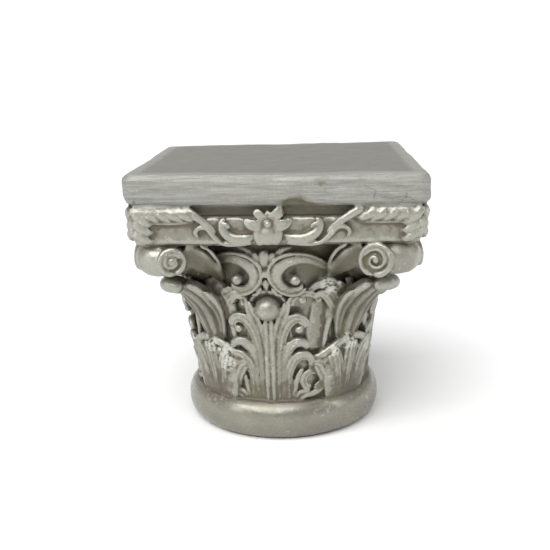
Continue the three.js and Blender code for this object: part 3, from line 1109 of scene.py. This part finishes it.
@dataclass(frozen=True)
class Grain:
    """Smooth random numbers in space, from -1 to 1, on a lattice of its own seed."""

    scale: float
    seed: int
    cells: int = 48

    def at(self, points: Array) -> Array:
        """The number at each point."""
        lattice = np.random.default_rng(self.seed).uniform(-1, 1, (self.cells,) * 3).astype(np.float32)
        place = points / self.scale + 1000.0
        corner = np.floor(place).astype(np.int64)
        part = (place - corner).astype(np.float32)
        part = part * part * (3 - 2 * part)
        total = np.zeros(len(points), np.float32)
        for step in np.ndindex(2, 2, 2):
            x, y, z = (np.abs(1 - step[i] - part[:, i]) for i in range(3))
            index = (corner + step) % self.cells
            total += x * y * z * lattice[index[:, 0], index[:, 1], index[:, 2]]
        return total


def layered(points: Array, base: float, *layers: tuple[float, float, int]) -> Array:
    """Adds layers of noise.

    Args:
        points: where the noise is read.
        base: the number that the layers are added to.
        layers: each layer's share, size and seed.

    Returns:
        One number for each point.
    """
    return sum((share * Grain(size, seed).at(points) for share, size, seed in layers), start=base)


def smooth_step(value: Array, low: float, high: float) -> Array:
    """0 below low, 1 above high and smooth between, or falling where low is above high."""
    share = np.clip((value - low) / (high - low), 0, 1)
    return share * share * (3 - 2 * share)


@dataclass(frozen=True)
class Chip:
    """A piece broken from an edge: everything inside an egg is pushed back along one direction.

    A squareness above 2 gives the egg flatter sides and a sharper rim.
    """

    middle: tuple[float, float, float]
    size: tuple[float, float, float]
    push: tuple[float, float, float]
    squareness: float = 2.0

    def depth(self, points: Array) -> Array:
        """How far out in the egg each point is: 0 in its middle, 1 on its wall."""
        local = np.abs((points - self.middle) / self.size)
        return np.sum(local**self.squareness, axis=1) ** (1 / self.squareness)

    def bare(self, points: Array) -> Array:
        """1 where a point lies on the broken face or near it, 0 elsewhere."""
        return smooth_step(self.depth(points), 1.07, 1.0)

    def apply(self, points: Array) -> None:
        """Moves the points inside the egg to its far wall."""
        inside = self.depth(points) < 1
        start, push = points[inside], np.array(self.push)
        near, far = np.zeros(len(start)), np.full(len(start), 2.5 * max(self.size))
        for _ in range(14):
            middle = (near + far) / 2
            within = self.depth(start + middle[:, None] * push) < 1
            near, far = np.where(within, middle, near), np.where(within, far, middle)
        points[inside] = start + far[:, None] * push


@dataclass
class Skin:
    """The joined surface of the casting, as arrays in millimetres."""

    mesh: bpy.types.Mesh
    points: Array = field(init=False)
    normals: Array = field(init=False)
    edges: Array = field(init=False)

    def __post_init__(self) -> None:
        """Reads the mesh."""
        self.points = np.empty(len(self.mesh.vertices) * 3, np.float32)
        self.mesh.vertices.foreach_get("co", self.points)
        self.points = self.points.reshape(-1, 3) / MM
        self.edges = np.empty(len(self.mesh.edges) * 2, np.int32)
        self.mesh.edges.foreach_get("vertices", self.edges)
        self.edges = self.edges.reshape(-1, 2)
        self.read_normals()

    def read_normals(self) -> None:
        """Takes the vertex normals from the mesh as it is."""
        self.normals = np.empty(len(self.mesh.vertices) * 3, np.float32)
        self.mesh.vertex_normals.foreach_get("vector", self.normals)
        self.normals = self.normals.reshape(-1, 3)

    def write(self) -> None:
        """Puts the points back in the mesh."""
        self.mesh.vertices.foreach_set("co", (self.points * MM).astype(np.float32).ravel())
        self.mesh.update()
        self.read_normals()

    def averaged(self, values: Array, times: int) -> Array:
        """Each point's value averaged with its neighbours', so many times."""
        a, b = self.edges[:, 0], self.edges[:, 1]
        count = np.bincount(self.edges.ravel(), minlength=len(values)).astype(np.float32)[:, None]
        values = values.reshape(len(values), -1).astype(np.float32)
        for _ in range(times):
            total = np.empty_like(values)
            for i in range(values.shape[1]):
                column = values[:, i]
                total[:, i] = np.bincount(a, column[b], len(values)) + np.bincount(b, column[a], len(values))
            values = 0.5 * values + 0.5 * total / np.maximum(count, 1)
        return values

    def hollowness(self, times: int) -> Array:
        """How far each point lies below the ground averaged round it, in mm, less than 0 above it."""
        return np.sum((self.averaged(self.points, times) - self.points) * self.normals, axis=1)


@dataclass(frozen=True)
class Casting:
    """The whole casting: ground forms, carving, wear and finish. Millimetres."""

    bell: Bell = field(default_factory=Bell)
    # Half width, low, high, corner and edge radii of the slab, the recess, the abacus and its lower step.
    blocks: tuple[tuple[float, float, float, float, float], ...] = (
        (159.6, 281.0, 315.6, 13.0, 8.0),
        (143.0, 262.0, 286.0, 4.0, 1.0),
        (151.0, 239.5, 270.5, 9.0, 5.0),
        (143.0, 237.0, 243.0, 7.0, 2.0),
    )
    voxel: float = 0.9
    quick_voxel: float = 1.7
    smoothing: int = 2
    near_rounds: int = 5
    broad_rounds: int = 45
    target_triangles: int = 190_000

    def carvings(self) -> tuple[Carving, ...]:
        """The parts of one side's carving."""
        kinds = (FaceLeaf, Helices, Calyx, CornerLeaf, Volutes, AbacusCarving)
        return tuple(kind(self.bell) for kind in kinds)

    def rough(self) -> bpy.types.Mesh:
        """Makes the ground forms and all the carving.

        Returns:
            Overlapping closed solids in one mesh.
        """
        cutter, turns = StrokeCutter(), QuarterTurns()
        pieces = []
        for carving in self.carvings():
            meshes = cutter.cut(carving.strokes()) + carving.solids()
            pieces += meshes
            log.info("%s: %d meshes", type(carving).__name__, len(meshes))
        side = joined("side", pieces)
        around = turns.repeat(side)
        bpy.data.meshes.remove(side)
        return joined("rough", [around, self.bell.mesh(), *(soft_block(*block) for block in self.blocks)])

    def fused(self, rough: bpy.types.Mesh) -> bpy.types.Mesh:
        """Joins the rough solids to one closed skin.

        Args:
            rough: the overlapping solids.

        Returns:
            The skin.
        """
        size = self.voxel * MM
        return modified(rough, "REMESH", mode="VOXEL", voxel_size=size, adaptivity=0.0)

    def thinned(self, dense: bpy.types.Mesh) -> bpy.types.Mesh:
        """Brings the skin down to the triangles that are kept.

        Args:
            dense: the skin.

        Returns:
            The thinned skin.
        """
        triangles = sum(len(p.vertices) - 2 for p in dense.polygons)
        if triangles <= self.target_triangles:
            return modified(dense, "TRIANGULATE")
        ratio = self.target_triangles / triangles
        return modified(dense, "DECIMATE", ratio=ratio, use_collapse_triangulate=True)

    def build(self) -> bpy.types.Object:
        """The finished casting.

        Returns:
            Its object, at the origin, with its finish.
        """
        wear = Wear()
        dense = self.fused(self.rough())
        skin = Skin(dense)
        skin.points = skin.averaged(skin.points, self.smoothing)
        skin.write()
        wear.apply(skin)
        log.info("joined skin: %d points", len(skin.points))
        mesh = self.thinned(dense)
        kept = Skin(mesh)
        np.clip(kept.points[:, 2], 0.0, None, out=kept.points[:, 2])
        kept.write()
        numbers = {
            "hollow": kept.hollowness(self.near_rounds),
            "broad_hollow": kept.hollowness(self.broad_rounds),
            "crust": kept.averaged(wear.crust(kept.points), 1)[:, 0],
            # Painted shade, stored for the paint to read.
            "shelter": kept.averaged(wear.shelter(kept.points), 1)[:, 0],
            "broken": np.max([chip.bare(kept.points) for chip in wear.chips], axis=0),
        }
        for name, values in numbers.items():
            mesh.attributes.new(name, "FLOAT", "POINT").data.foreach_set("value", values.astype(np.float32))
        mesh.shade_smooth()
        mesh.materials.clear()
        mesh.materials.append(PewterPaint().material())
        capital = bpy.data.objects.new("capital_carved", mesh)
        bpy.context.scene.collection.objects.link(capital)
        return capital


@dataclass(frozen=True)
class Wear:
    """What age and handling did to the casting, and where shade is painted on it. Millimetres."""

    chips: tuple[Chip, ...] = (
        Chip((19, -161, 279), (13, 13, 10), (0, 1, 0.05), 3.2),
        Chip((31, -161, 279), (10, 11, 6.5), (0, 1, 0.05), 3.2),
        Chip((-48.5, -161, 286), (5, 3, 4.5), (0, 1, 0.2)),
        Chip((47, -161.5, 304), (4, 3, 7), (0.2, 1, 0)),
        Chip((52, -161.5, 298), (3, 2.6, 5), (0, 1, 0)),
        Chip((88, -161.5, 309), (16, 2.6, 2.4), (0, 1, -0.1)),
        Chip((160, 40, 281), (6, 11, 6), (-1, 0, 0.4)),
        Chip((161, -70, 312), (4, 9, 5), (-1, 0, -0.3)),
        Chip((-160, 70, 280), (6, 14, 6), (1, 0, 0.4)),
        Chip((-161, -40, 313), (4, 7, 4), (1, 0, -0.4)),
        Chip((-60, 160, 281), (15, 6, 7), (0, -1, 0.4)),
        Chip((90, 161, 313), (9, 4, 4), (0, -1, -0.4)),
    )
    crusts: tuple[tuple[float, float, float], ...] = (
        (-33, 92, 15), (-42, 110, 12), (42, 112, 13), (27, 186, 14), (-31, 108, 9), (32, 104, 8),
        (60, 100, 13), (95, 175, 12), (118, 90, 14), (150, 180, 13), (172, 110, 12), (205, 95, 14),
        (238, 178, 12), (262, 100, 12), (292, 112, 13),
    )
    # Painted shade and dark reflections: middle in the front side's frame, radius and share of each darkened
    # place, on the volute stems, the roll, the corner leaves and the ball.
    painted_shade_places: tuple[tuple[float, float, float, float, float], ...] = (
        (64, -113, 197, 17, 1.0), (74, -129, 212, 17, 1.0), (84, -135, 224, 13, 1.0),
        (-72, -113, 197, 17, 1.0), (-82, -129, 212, 17, 1.0), (-92, -135, 224, 13, 1.0),
        (140, -140, 221, 28, 0.45), (92, -88, 150, 34, 0.45), (-92, -88, 150, 34, 0.4),
        (-10, -114, 160, 17, 0.35),
    )
    slab_starts: tuple[float, float] = (276.0, 283.0)
    leaves_start: tuple[float, float] = (40.0, 52.0)
    ring_ends: tuple[float, float] = (38.0, 48.0)
    recess: tuple[float, float] = (262.0, 282.0)
    abacus_half: float = 151.0
    abacus_low: float = 238.0
    twist_starts: tuple[float, float] = (236.0, 282.0)
    twist: float = 1.2
    sag: float = 2.2
    half: float = 160.0
    widest: float = 159.9
    highest: float = 315.8

    def shelter(self, points: Array) -> Array:
        """Finds where shade is painted: under the abacus, in its recess and on places of shade and dark
        reflection.

        Args:
            points: the skin's points.

        Returns:
            How much painted shade each point gets, from 0 to 1.
        """
        inset = self.abacus_half - np.max(np.abs(points[:, :2]), axis=1)
        under = np.maximum(self.abacus_low - points[:, 2], 0)
        # Painted shade under the abacus, deeper further in and lower down.
        total = smooth_step((inset - 0.5 * under) / 20.0, 0.0, 1.0) * (points[:, 2] < 241)
        # Painted shade in the recess under the slab.
        low, high = self.recess
        recess = 0.95 * smooth_step(inset, 1.0, 5.0) * (points[:, 2] > low) * (points[:, 2] < high)
        total = np.maximum(total, recess)
        right_angle = math.pi / 2
        quarter = np.round(np.arctan2(points[:, 0], -points[:, 1]) / right_angle) * right_angle
        x = points[:, 0] * np.cos(quarter) + points[:, 1] * np.sin(quarter)
        y = points[:, 1] * np.cos(quarter) - points[:, 0] * np.sin(quarter)
        front = np.stack([x, y, points[:, 2]], axis=1)
        # Painted shade and dark reflections on the listed places.
        for *middle, radius, share in self.painted_shade_places:
            away = np.linalg.norm(front - middle, axis=1) / radius
            total = np.maximum(total, share * smooth_step(away, 1.2, 0.8))
        return total

    def crust(self, points: Array) -> Array:
        """Finds the ragged pale crusts on the leaves.

        Args:
            points: the skin's points.

        Returns:
            How crusted each point is, from 0 to 1.
        """
        angle = np.degrees(np.arctan2(points[:, 0], -points[:, 1]))
        total = np.zeros(len(points), np.float32)
        for centre, height, radius in self.crusts:
            turn = (angle - centre + 180) % 360 - 180
            away = np.hypot(np.radians(turn) * 110, points[:, 2] - height) / radius
            total = np.maximum(total, 1 - smooth_step(away, 0.45, 1.25))
        ragged = layered(points, 0.5, (0.5, 5.0, 61), (0.35, 2.2, 62))
        return smooth_step(total * (0.55 + ragged), 0.45, 0.95) * (points[:, 2] < self.recess[0])

    def roughness(self, points: Array, normals: Array) -> Array:
        """Works out the casting's rough skin: carved part, crusts, ring and brushed, flaked slab.

        Args:
            points: the skin's points.
            normals: their outward directions.

        Returns:
            How far each point moves outwards.
        """
        z = points[:, 2]
        slab = smooth_step(z, *self.slab_starts)
        carved = smooth_step(z, *self.leaves_start) * (1 - slab)
        ring = 1 - smooth_step(z, *self.ring_ends)
        push = layered(points, 0.0, (0.30, 9.0, 11), (0.18, 4.2, 12), (0.12, 2.1, 13))
        push = push * (0.25 + 0.75 * carved)
        push += self.crust(points) * layered(points, 0.5, (0.9, 2.6, 21), (0.6, 1.6, 22))
        push += ring * (layered(points, 0.0, (0.35, 30.0, 31), (0.15, 8.0, 32)) - 0.3)
        side_on = np.abs(normals[:, 2]) < 0.7
        brushed = np.stack([points[:, 0] * 0.12, points[:, 1] * 0.12, points[:, 2]], axis=1)
        streak = Grain(2.4, 41).at(brushed) * 0.22 + Grain(6.0, 42).at(brushed * (0.5, 0.5, 1)) * 0.35
        flat = points * np.array((0.35, 0.35, 1.6), np.float32)
        flake = smooth_step(Grain(9.0, 45).at(flat), 0.02, 0.20)
        push += slab * np.where(side_on, streak + 0.55 * flake - 0.6, -0.25)
        push += slab * (layered(points, 0.0, (0.7, 46.0, 43), (0.3, 14.0, 44)) - 0.5)
        return push

    def warp(self, points: Array) -> None:
        """Sags the slab's lower edge at the corners and twists the top, in place."""
        lower_edge = smooth_step(points[:, 2], 274, 281) * smooth_step(points[:, 2], 300, 288)
        corner = (np.sum(points[:, :2] ** 2, axis=1) / (2 * self.half**2)) ** 2
        points[:, 2] += lower_edge * self.sag * corner
        upper = smooth_step(points[:, 2], *self.twist_starts)
        points[:, 2] += upper * self.twist * (points[:, 0] * points[:, 1] / self.half**2 - 1)

    def apply(self, skin: Skin) -> None:
        """Roughens, chips and warps the skin, keeps it in its box and sets its foot flat.

        Args:
            skin: the skin, which is changed and written back to its mesh.
        """
        points = skin.points
        points += self.roughness(points, skin.normals)[:, None] * skin.normals
        for chip in self.chips:
            before = points.copy()
            chip.apply(points)
            moved = np.linalg.norm(points - before, axis=1) > 0
            points[moved] += (0.5 * Grain(3.0, 51).at(before[moved]))[:, None] * skin.normals[moved]
        self.warp(points)
        np.clip(points[:, 2], 0.0, self.highest, out=points[:, 2])
        np.clip(points[:, :2], -self.widest, self.widest, out=points[:, :2])
        foot = points[:, 2] < 1.2
        points[foot, 2] = np.where(skin.normals[foot, 2] < -0.6, 0.0, points[foot, 2])
        skin.write()


# Finishes -----------------------------------------------------------------------------------------


class PaintGraph(Graph):
    """The nodes of one material, with the noise and the stored numbers that a finish reads."""

    def __init__(self, name: str) -> None:
        """Starts a material by its name."""
        self.material = bpy.data.materials.new(name)
        self.material.use_nodes = True
        self.material.node_tree.nodes.clear()
        super().__init__(self.material.node_tree)
        self.where = self.add("ShaderNodeTexCoord").out("Object")

    def attribute(self, name: str) -> Signal:
        """A number stored on the mesh."""
        return self.add("ShaderNodeAttribute", {"attribute_name": name}).out("Fac")

    def noise(self, scale: float, detail: float = 3.0, stretch: Sequence[float] = (1, 1, 1),
              rough: float = 0.5) -> Signal:
        """Smooth noise about 0.5.

        Args:
            scale: how fine it is.
            detail: how many finer layers it has.
            stretch: how much finer it is along X, Y and Z.
            rough: how strong the finer layers are.

        Returns:
            The noise.
        """
        at = self.add("ShaderNodeMapping", inputs={"Vector": self.where, "Scale": stretch}).out()
        inputs = {"Vector": at, "Scale": scale, "Detail": detail, "Roughness": rough}
        return self.add("ShaderNodeTexNoise", {"noise_dimensions": "3D"}, inputs).out("Fac")

    def finish(self, inputs: dict) -> bpy.types.Material:
        """Ends the tree with a surface of these inputs and gives the material."""
        shader = self.add("ShaderNodeBsdfPrincipled", inputs=inputs).out()
        self.add("ShaderNodeOutputMaterial", inputs={"Surface": shader})
        return self.material


class Places:
    """What the paint reads at a point: noises, stored numbers and which part of the casting it is on."""

    slab_starts = (0.2775, 0.2815)
    level = (0.75, 0.95)
    ring_ends = (0.047, 0.041)

    def __init__(self, g: PaintGraph) -> None:
        """Adds the nodes to a material's tree. Heights are in metres."""
        self.height = g.add("ShaderNodeSeparateXYZ", inputs={0: g.where}).out("Z")
        normal = g.add("ShaderNodeTexCoord").out("Normal")
        facing = g.add("ShaderNodeSeparateXYZ", inputs={0: normal}).out("Z")
        self.hollow, self.broad = g.attribute("hollow"), g.attribute("broad_hollow")
        # The shade painted under the abacus, in its recess and on the listed places, as stored on the mesh.
        self.crust, self.painted_shade_share = g.attribute("crust"), g.attribute("shelter")
        self.cloud, self.mottle = g.noise(22, 4), g.noise(75, 4, rough=0.6)
        self.speck = g.noise(420, 3, rough=0.6)
        self.on_slab = self.height.step(*self.slab_starts)
        self.on_top = self.on_slab * facing.step(*self.level)
        self.on_ring = self.height.step(*self.ring_ends)
        upright = g.noise(26, 5, (1, 1, 14), 0.6) * (1 - self.on_top)
        self.streaks = upright + g.noise(24, 5, (1.2, 12, 1), 0.6) * self.on_top


@dataclass(frozen=True)
class PewterPaint:
    """Metallic pewter paint, worn thin in the hollows where an olive coat shows, over pale plaster, with
    shade, ridge highlights and light on the slab's top painted in.
    """

    silver: tuple = (0.250, 0.243, 0.198)
    # Paler silver on the ridges: rubbed paint and a painted highlight.
    rubbed_silver_and_highlight: tuple = (0.43, 0.43, 0.385)
    olive: tuple = (0.100, 0.091, 0.050)
    brown: tuple = (0.098, 0.078, 0.060)
    plaster: tuple = (0.52, 0.525, 0.47)
    slab: tuple = (0.275, 0.276, 0.252)
    # Broken faces: the olive under the paint, made darker as painted shade in the dents.
    chip: tuple = (0.145, 0.138, 0.088)
    slab_cloud: tuple = (0.29, 0.275, 0.24)
    slab_panel: tuple = (0.245, 0.235, 0.205)
    # The lighter border of the slab's top: a worn edge and painted light on the top face.
    slab_worn_rim_and_top_light: tuple = (0.6, 0.6, 0.57)
    crack: tuple = (0.07, 0.066, 0.055)
    metallic: float = 0.72
    rough: float = 0.33

    def thinness(self, p: Places) -> Signal:
        """Works out how thin the pewter is, with the painted shade added in.

        Args:
            p: what the paint reads.

        Returns:
            0 to 1: most in hollows, low on the leaves and on the ring, more towards the ring's bottom, and
                    high where shade is painted.
        """
        # Hollows thin the pewter, and the painted shade darkens it the same way.
        thin = p.broad * 0.18 + p.painted_shade_share * 0.6 + p.hollow * 2.0 + (p.mottle - 0.5) * 1.6
        thin = (thin + (p.cloud - 0.5) * 1.2).step(0.15, 1.25)
        # Painted shade keeps the pewter at least this dark.
        thin = thin.at_least(p.painted_shade_share * (0.75 + p.mottle * 0.4))
        low = (p.height + (p.mottle - 0.5) * 0.03 + (p.speck - 0.5) * 0.012).step(0.071, 0.064)
        thin = thin + low * p.height.step(0.039, 0.043) * 0.75
        ring = 0.42 + p.height.step(0.034, 0.004) * 0.40 + (p.cloud - 0.5) * 1.3 + (p.mottle - 0.5) * 0.6
        return (thin + p.on_ring * ring).clamped() * (1 - p.on_slab)

    def whiteness(self, g: PaintGraph, p: Places) -> Signal:
        """Works out where plaster shows: crusts, bare specks on the ridges and thin scuffs on the ring.

        Args:
            g: the material's nodes.
            p: what the paint reads.

        Returns:
            How much of the plaster shows, from 0 to 1.
        """
        bare = p.hollow.at_least(-0.3) * -1.4 + (p.mottle - 0.5) * 3.0 + (p.speck - 0.5) * 2.4
        bare = (bare.step(0.95, 1.15) * 0.75 * (1 - p.on_slab) * (1 - p.on_ring)).clamped()
        scuff = (g.noise(34, 3, (1, 1, 1.6), 0.65) - 0.5).absolute().step(0.012, 0.004)
        scuff = scuff * g.noise(19, 2).step(0.55, 0.60) * g.noise(150, 2).step(0.40, 0.52) * p.on_ring * 0.75
        ridges = p.hollow * -1.1 + (p.speck - 0.5) * 1.0 + (p.mottle - 0.5) * 1.8 + 0.65
        return (p.crust * ridges.clamped()).at_least(bare).at_least(scuff)

    def slab_colour(self, g: PaintGraph, p: Places) -> Signal:
        """Paints the brushed slab: streaks, clouds, the worn edge of its top, which also carries painted
        light, and fine cracks.

        Args:
            g: the material's nodes.
            p: what the paint reads.

        Returns:
            The slab's colour.
        """
        dark, light = (tuple(c * share for c in self.slab) for share in (0.86, 1.15))
        colour = g.mix(p.streaks.step(0.36, 0.66), dark, light)
        colour = g.mix(p.cloud.step(0.45, 0.7) * 0.35, colour, self.slab_cloud)
        axes = g.add("ShaderNodeSeparateXYZ", inputs={0: g.where})
        reach = axes.out("X").absolute().at_least(axes.out("Y").absolute())
        panel = (reach + (p.mottle - 0.5) * 0.012).step(0.146, 0.138) * p.on_top
        colour = g.mix(panel * 0.8, colour, self.slab_panel)
        # Lighter top border: partly worn edge, partly painted light on the top face.
        colour = g.mix(p.on_top * (1 - panel) * 0.25, colour, self.slab_worn_rim_and_top_light)
        squashed = g.add("ShaderNodeMapping", inputs={"Vector": g.where, "Scale": (1, 1, 5.0)}).out()
        wander = g.add("ShaderNodeTexNoise", inputs={"Vector": g.where, "Scale": 60.0}).out("Color")
        inputs = {"Factor": 0.012, "A": squashed, "B": wander}
        bent = g.add("ShaderNodeMix", {"data_type": "VECTOR"}, inputs).out("Result")
        settings = {"feature": "DISTANCE_TO_EDGE"}
        cells = g.add("ShaderNodeTexVoronoi", settings, {"Vector": bent, "Scale": 13.0}).out("Distance")
        crack = cells.step(0.014, 0.004) * g.noise(17, 2).step(0.57, 0.62)
        return g.mix(crack * (1 - p.on_top) * 0.45, colour, self.crack)

    def material(self) -> bpy.types.Material:
        """Puts the paint together.

        Returns:
            The painted plaster.
        """
        g = PaintGraph("painted plaster")
        p = Places(g)
        thin, white, broken = self.thinness(p), self.whiteness(g, p), g.attribute("broken")
        # Ridges paler: partly rubbed paint, partly a painted highlight.
        rubbed_and_highlit = p.hollow * -2.0 + p.broad * -0.2 + (p.speck - 0.5) * 0.8 + (p.mottle - 0.5) * 0.8
        undercoat = g.mix(p.cloud.step(0.4, 0.62), self.olive, self.brown)
        # The olive undercoat shows where the pewter is thin and where shade is painted.
        colour = g.mix(thin * 0.85, self.silver, undercoat)
        # The painted highlight is held back on the ring and in the painted shade.
        kept = (1 - p.on_ring * 0.6) * (1 - p.painted_shade_share * 0.85)
        colour = g.mix(rubbed_and_highlit.step(0.1, 1.1) * 0.5 * kept, colour, self.rubbed_silver_and_highlight)
        colour = g.mix(p.on_slab, colour, self.slab_colour(g, p))
        colour = g.mix(white * 0.9, colour, self.plaster)
        # Chipped faces show the olive beneath, darkened as painted shade.
        colour = g.mix(broken * (0.7 + p.mottle * 0.5).clamped(), colour, self.chip)
        stops = ((0.25, (0.35, 0.35, 0.35, 1)), (0.75, (0.65, 0.65, 0.65, 1)))
        fine = g.add("ShaderNodeValToRGB", {"stops": stops}, {0: p.speck}).out()
        colour = g.mix(0.35, colour, fine, "OVERLAY")
        metallic = (1 - white) * (1 - thin * 0.5) * (1 - p.on_slab * 0.45) * (1 - broken) * self.metallic
        rough = self.rough + thin * 0.16 * (1 - p.on_ring) - p.on_ring * 0.05 + white * 0.45
        rough = rough + (p.mottle - 0.5) * 0.25 + p.on_slab * 0.16 + (p.speck - 0.5) * 0.12
        relief = p.mottle * 0.5 + p.speck * 0.35 + g.noise(160, 3) * (0.5 + p.crust * 1.5)
        relief = relief * (1 - p.on_ring * 0.6) + p.streaks * p.on_slab * 2.2
        bump = g.add("ShaderNodeBump", inputs={"Strength": 0.5, "Distance": 0.0014, "Height": relief}).out()
        return g.finish({"Base Color": colour, "Metallic": metallic.clamped(), "Roughness": rough.clamped(),
                         "Normal": bump, "Specular IOR Level": 0.45})


@dataclass(frozen=True)
class PaleFloor:
    """A plain matt floor."""

    colour: tuple = (0.94, 0.94, 0.94)

    def material(self) -> bpy.types.Material:
        """The floor's material."""
        g = PaintGraph("pale floor")
        cloud = g.add("ShaderNodeTexNoise", inputs={"Vector": g.where, "Scale": 3.0}).out("Fac")
        colour = g.mix(cloud * 0.03, self.colour, (0.8, 0.8, 0.8))
        return g.finish({"Base Color": colour, "Roughness": 0.85, "Specular IOR Level": 0.1})


# The studio ---------------------------------------------------------------------------------------


@dataclass(frozen=True)
class Softbox:
    """A soft rectangular light aimed at a point. Metres and watts."""

    name: str
    at: tuple[float, float, float]
    size: tuple[float, float]
    power: float
    aim: tuple[float, float, float] = (0.0, 0.0, 0.16)

    def hang(self) -> None:
        """Puts the light in the scene."""
        light = bpy.data.lights.new(self.name, "AREA")
        light.shape = "RECTANGLE"
        light.size, light.size_y = self.size
        light.energy = self.power
        holder = bpy.data.objects.new(self.name, light)
        bpy.context.scene.collection.objects.link(holder)
        holder.location = self.at
        holder.rotation_euler = (Vector(self.aim) - Vector(self.at)).to_track_quat("-Z", "Y").to_euler()


@dataclass(frozen=True)
class Studio:
    """Floor, soft light and camera."""

    camera_at: tuple[float, float, float] = (0.0298, -1.0329, 0.4310)
    azimuth: float = -2.1
    pitch: float = 14.25
    roll: float = -1.176
    lens: float = 56.70
    sensor: float = 36.0
    far: float = 100.0
    floor_half: float = 30.0
    horizon: float = 1.0
    sky: float = 0.45
    sun: float = 2.9
    sun_spread: float = 60.0
    sun_from: tuple[float, float, float] = (-0.28, -0.62, 1.0)
    boxes: tuple[Softbox, ...] = (
        Softbox("left strip", (-1.3, -0.9, 0.9), (0.5, 1.2), 5.0),
        Softbox("right strip", (1.5, -0.5, 0.9), (0.4, 1.2), 4.0),
    )

    def camera(self) -> None:
        """The camera, turned by its azimuth, pitch and roll."""
        azimuth, pitch, roll = (math.radians(v) for v in (self.azimuth, self.pitch, self.roll))
        flat = math.cos(pitch)
        ahead = Vector((math.sin(azimuth) * flat, math.cos(azimuth) * flat, -math.sin(pitch)))
        level = Vector((math.cos(azimuth), -math.sin(azimuth), 0))
        upright = level.cross(ahead)
        right = math.cos(roll) * level + math.sin(roll) * upright
        up = math.cos(roll) * upright - math.sin(roll) * level
        lens = bpy.data.cameras.new("camera")
        lens.lens, lens.sensor_width, lens.clip_end = self.lens, self.sensor, self.far
        holder = bpy.data.objects.new("camera", lens)
        bpy.context.scene.collection.objects.link(holder)
        place = Matrix((right, up, -ahead)).transposed().to_4x4()
        place.translation = Vector(self.camera_at)
        holder.matrix_world = place
        bpy.context.scene.camera = holder

    def build(self) -> None:
        """Makes the whole studio."""
        self.camera()
        for box in self.boxes:
            box.hang()
        size = self.floor_half / MM
        corners = [(-size, -size, 0), (size, -size, 0), (size, size, 0), (-size, size, 0)]
        floor_mesh = mesh_of("floor", np.array(corners), [(0, 1, 2, 3)])
        floor = bpy.data.objects.new("floor", floor_mesh)
        floor_mesh.materials.append(PaleFloor().material())
        bpy.context.scene.collection.objects.link(floor)
        self.surroundings()
        self.daylight()
        bpy.context.scene.view_settings.view_transform = "Standard"

    def surroundings(self) -> None:
        """The world: pale at the horizon and dimmer overhead."""
        world = bpy.data.worlds.new("studio")
        world.use_nodes = True
        world.node_tree.nodes.clear()
        g = Graph(world.node_tree)
        up = g.add("ShaderNodeSeparateXYZ", inputs={0: g.add("ShaderNodeTexCoord").out("Generated")}).out("Z")
        strength = self.sky + up.absolute().step(0.20, 0.09) * (self.horizon - self.sky)
        white = (1.0, 1.0, 1.0, 1.0)
        glow = g.add("ShaderNodeBackground", inputs={"Color": white, "Strength": strength}).out()
        g.add("ShaderNodeOutputWorld", inputs={"Surface": glow})
        bpy.context.scene.world = world

    def daylight(self) -> None:
        """One broad soft light from over the viewer's left shoulder."""
        light = bpy.data.lights.new("broad light", "SUN")
        light.energy = self.sun
        light.angle = math.radians(self.sun_spread)
        holder = bpy.data.objects.new("broad light", light)
        bpy.context.scene.collection.objects.link(holder)
        holder.rotation_euler = (-Vector(self.sun_from)).to_track_quat("-Z", "Y").to_euler()


def main() -> None:
    """Builds the capital and the studio."""
    logging.basicConfig(level=logging.INFO, format="%(name)s: %(message)s")
    Studio().build()
    capital = Casting().build()
    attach(capital, "root")
    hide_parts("capital")
    log.info("%s: %d triangles", capital.name, len(capital.data.polygons))


if __name__ == "__main__":
    main()
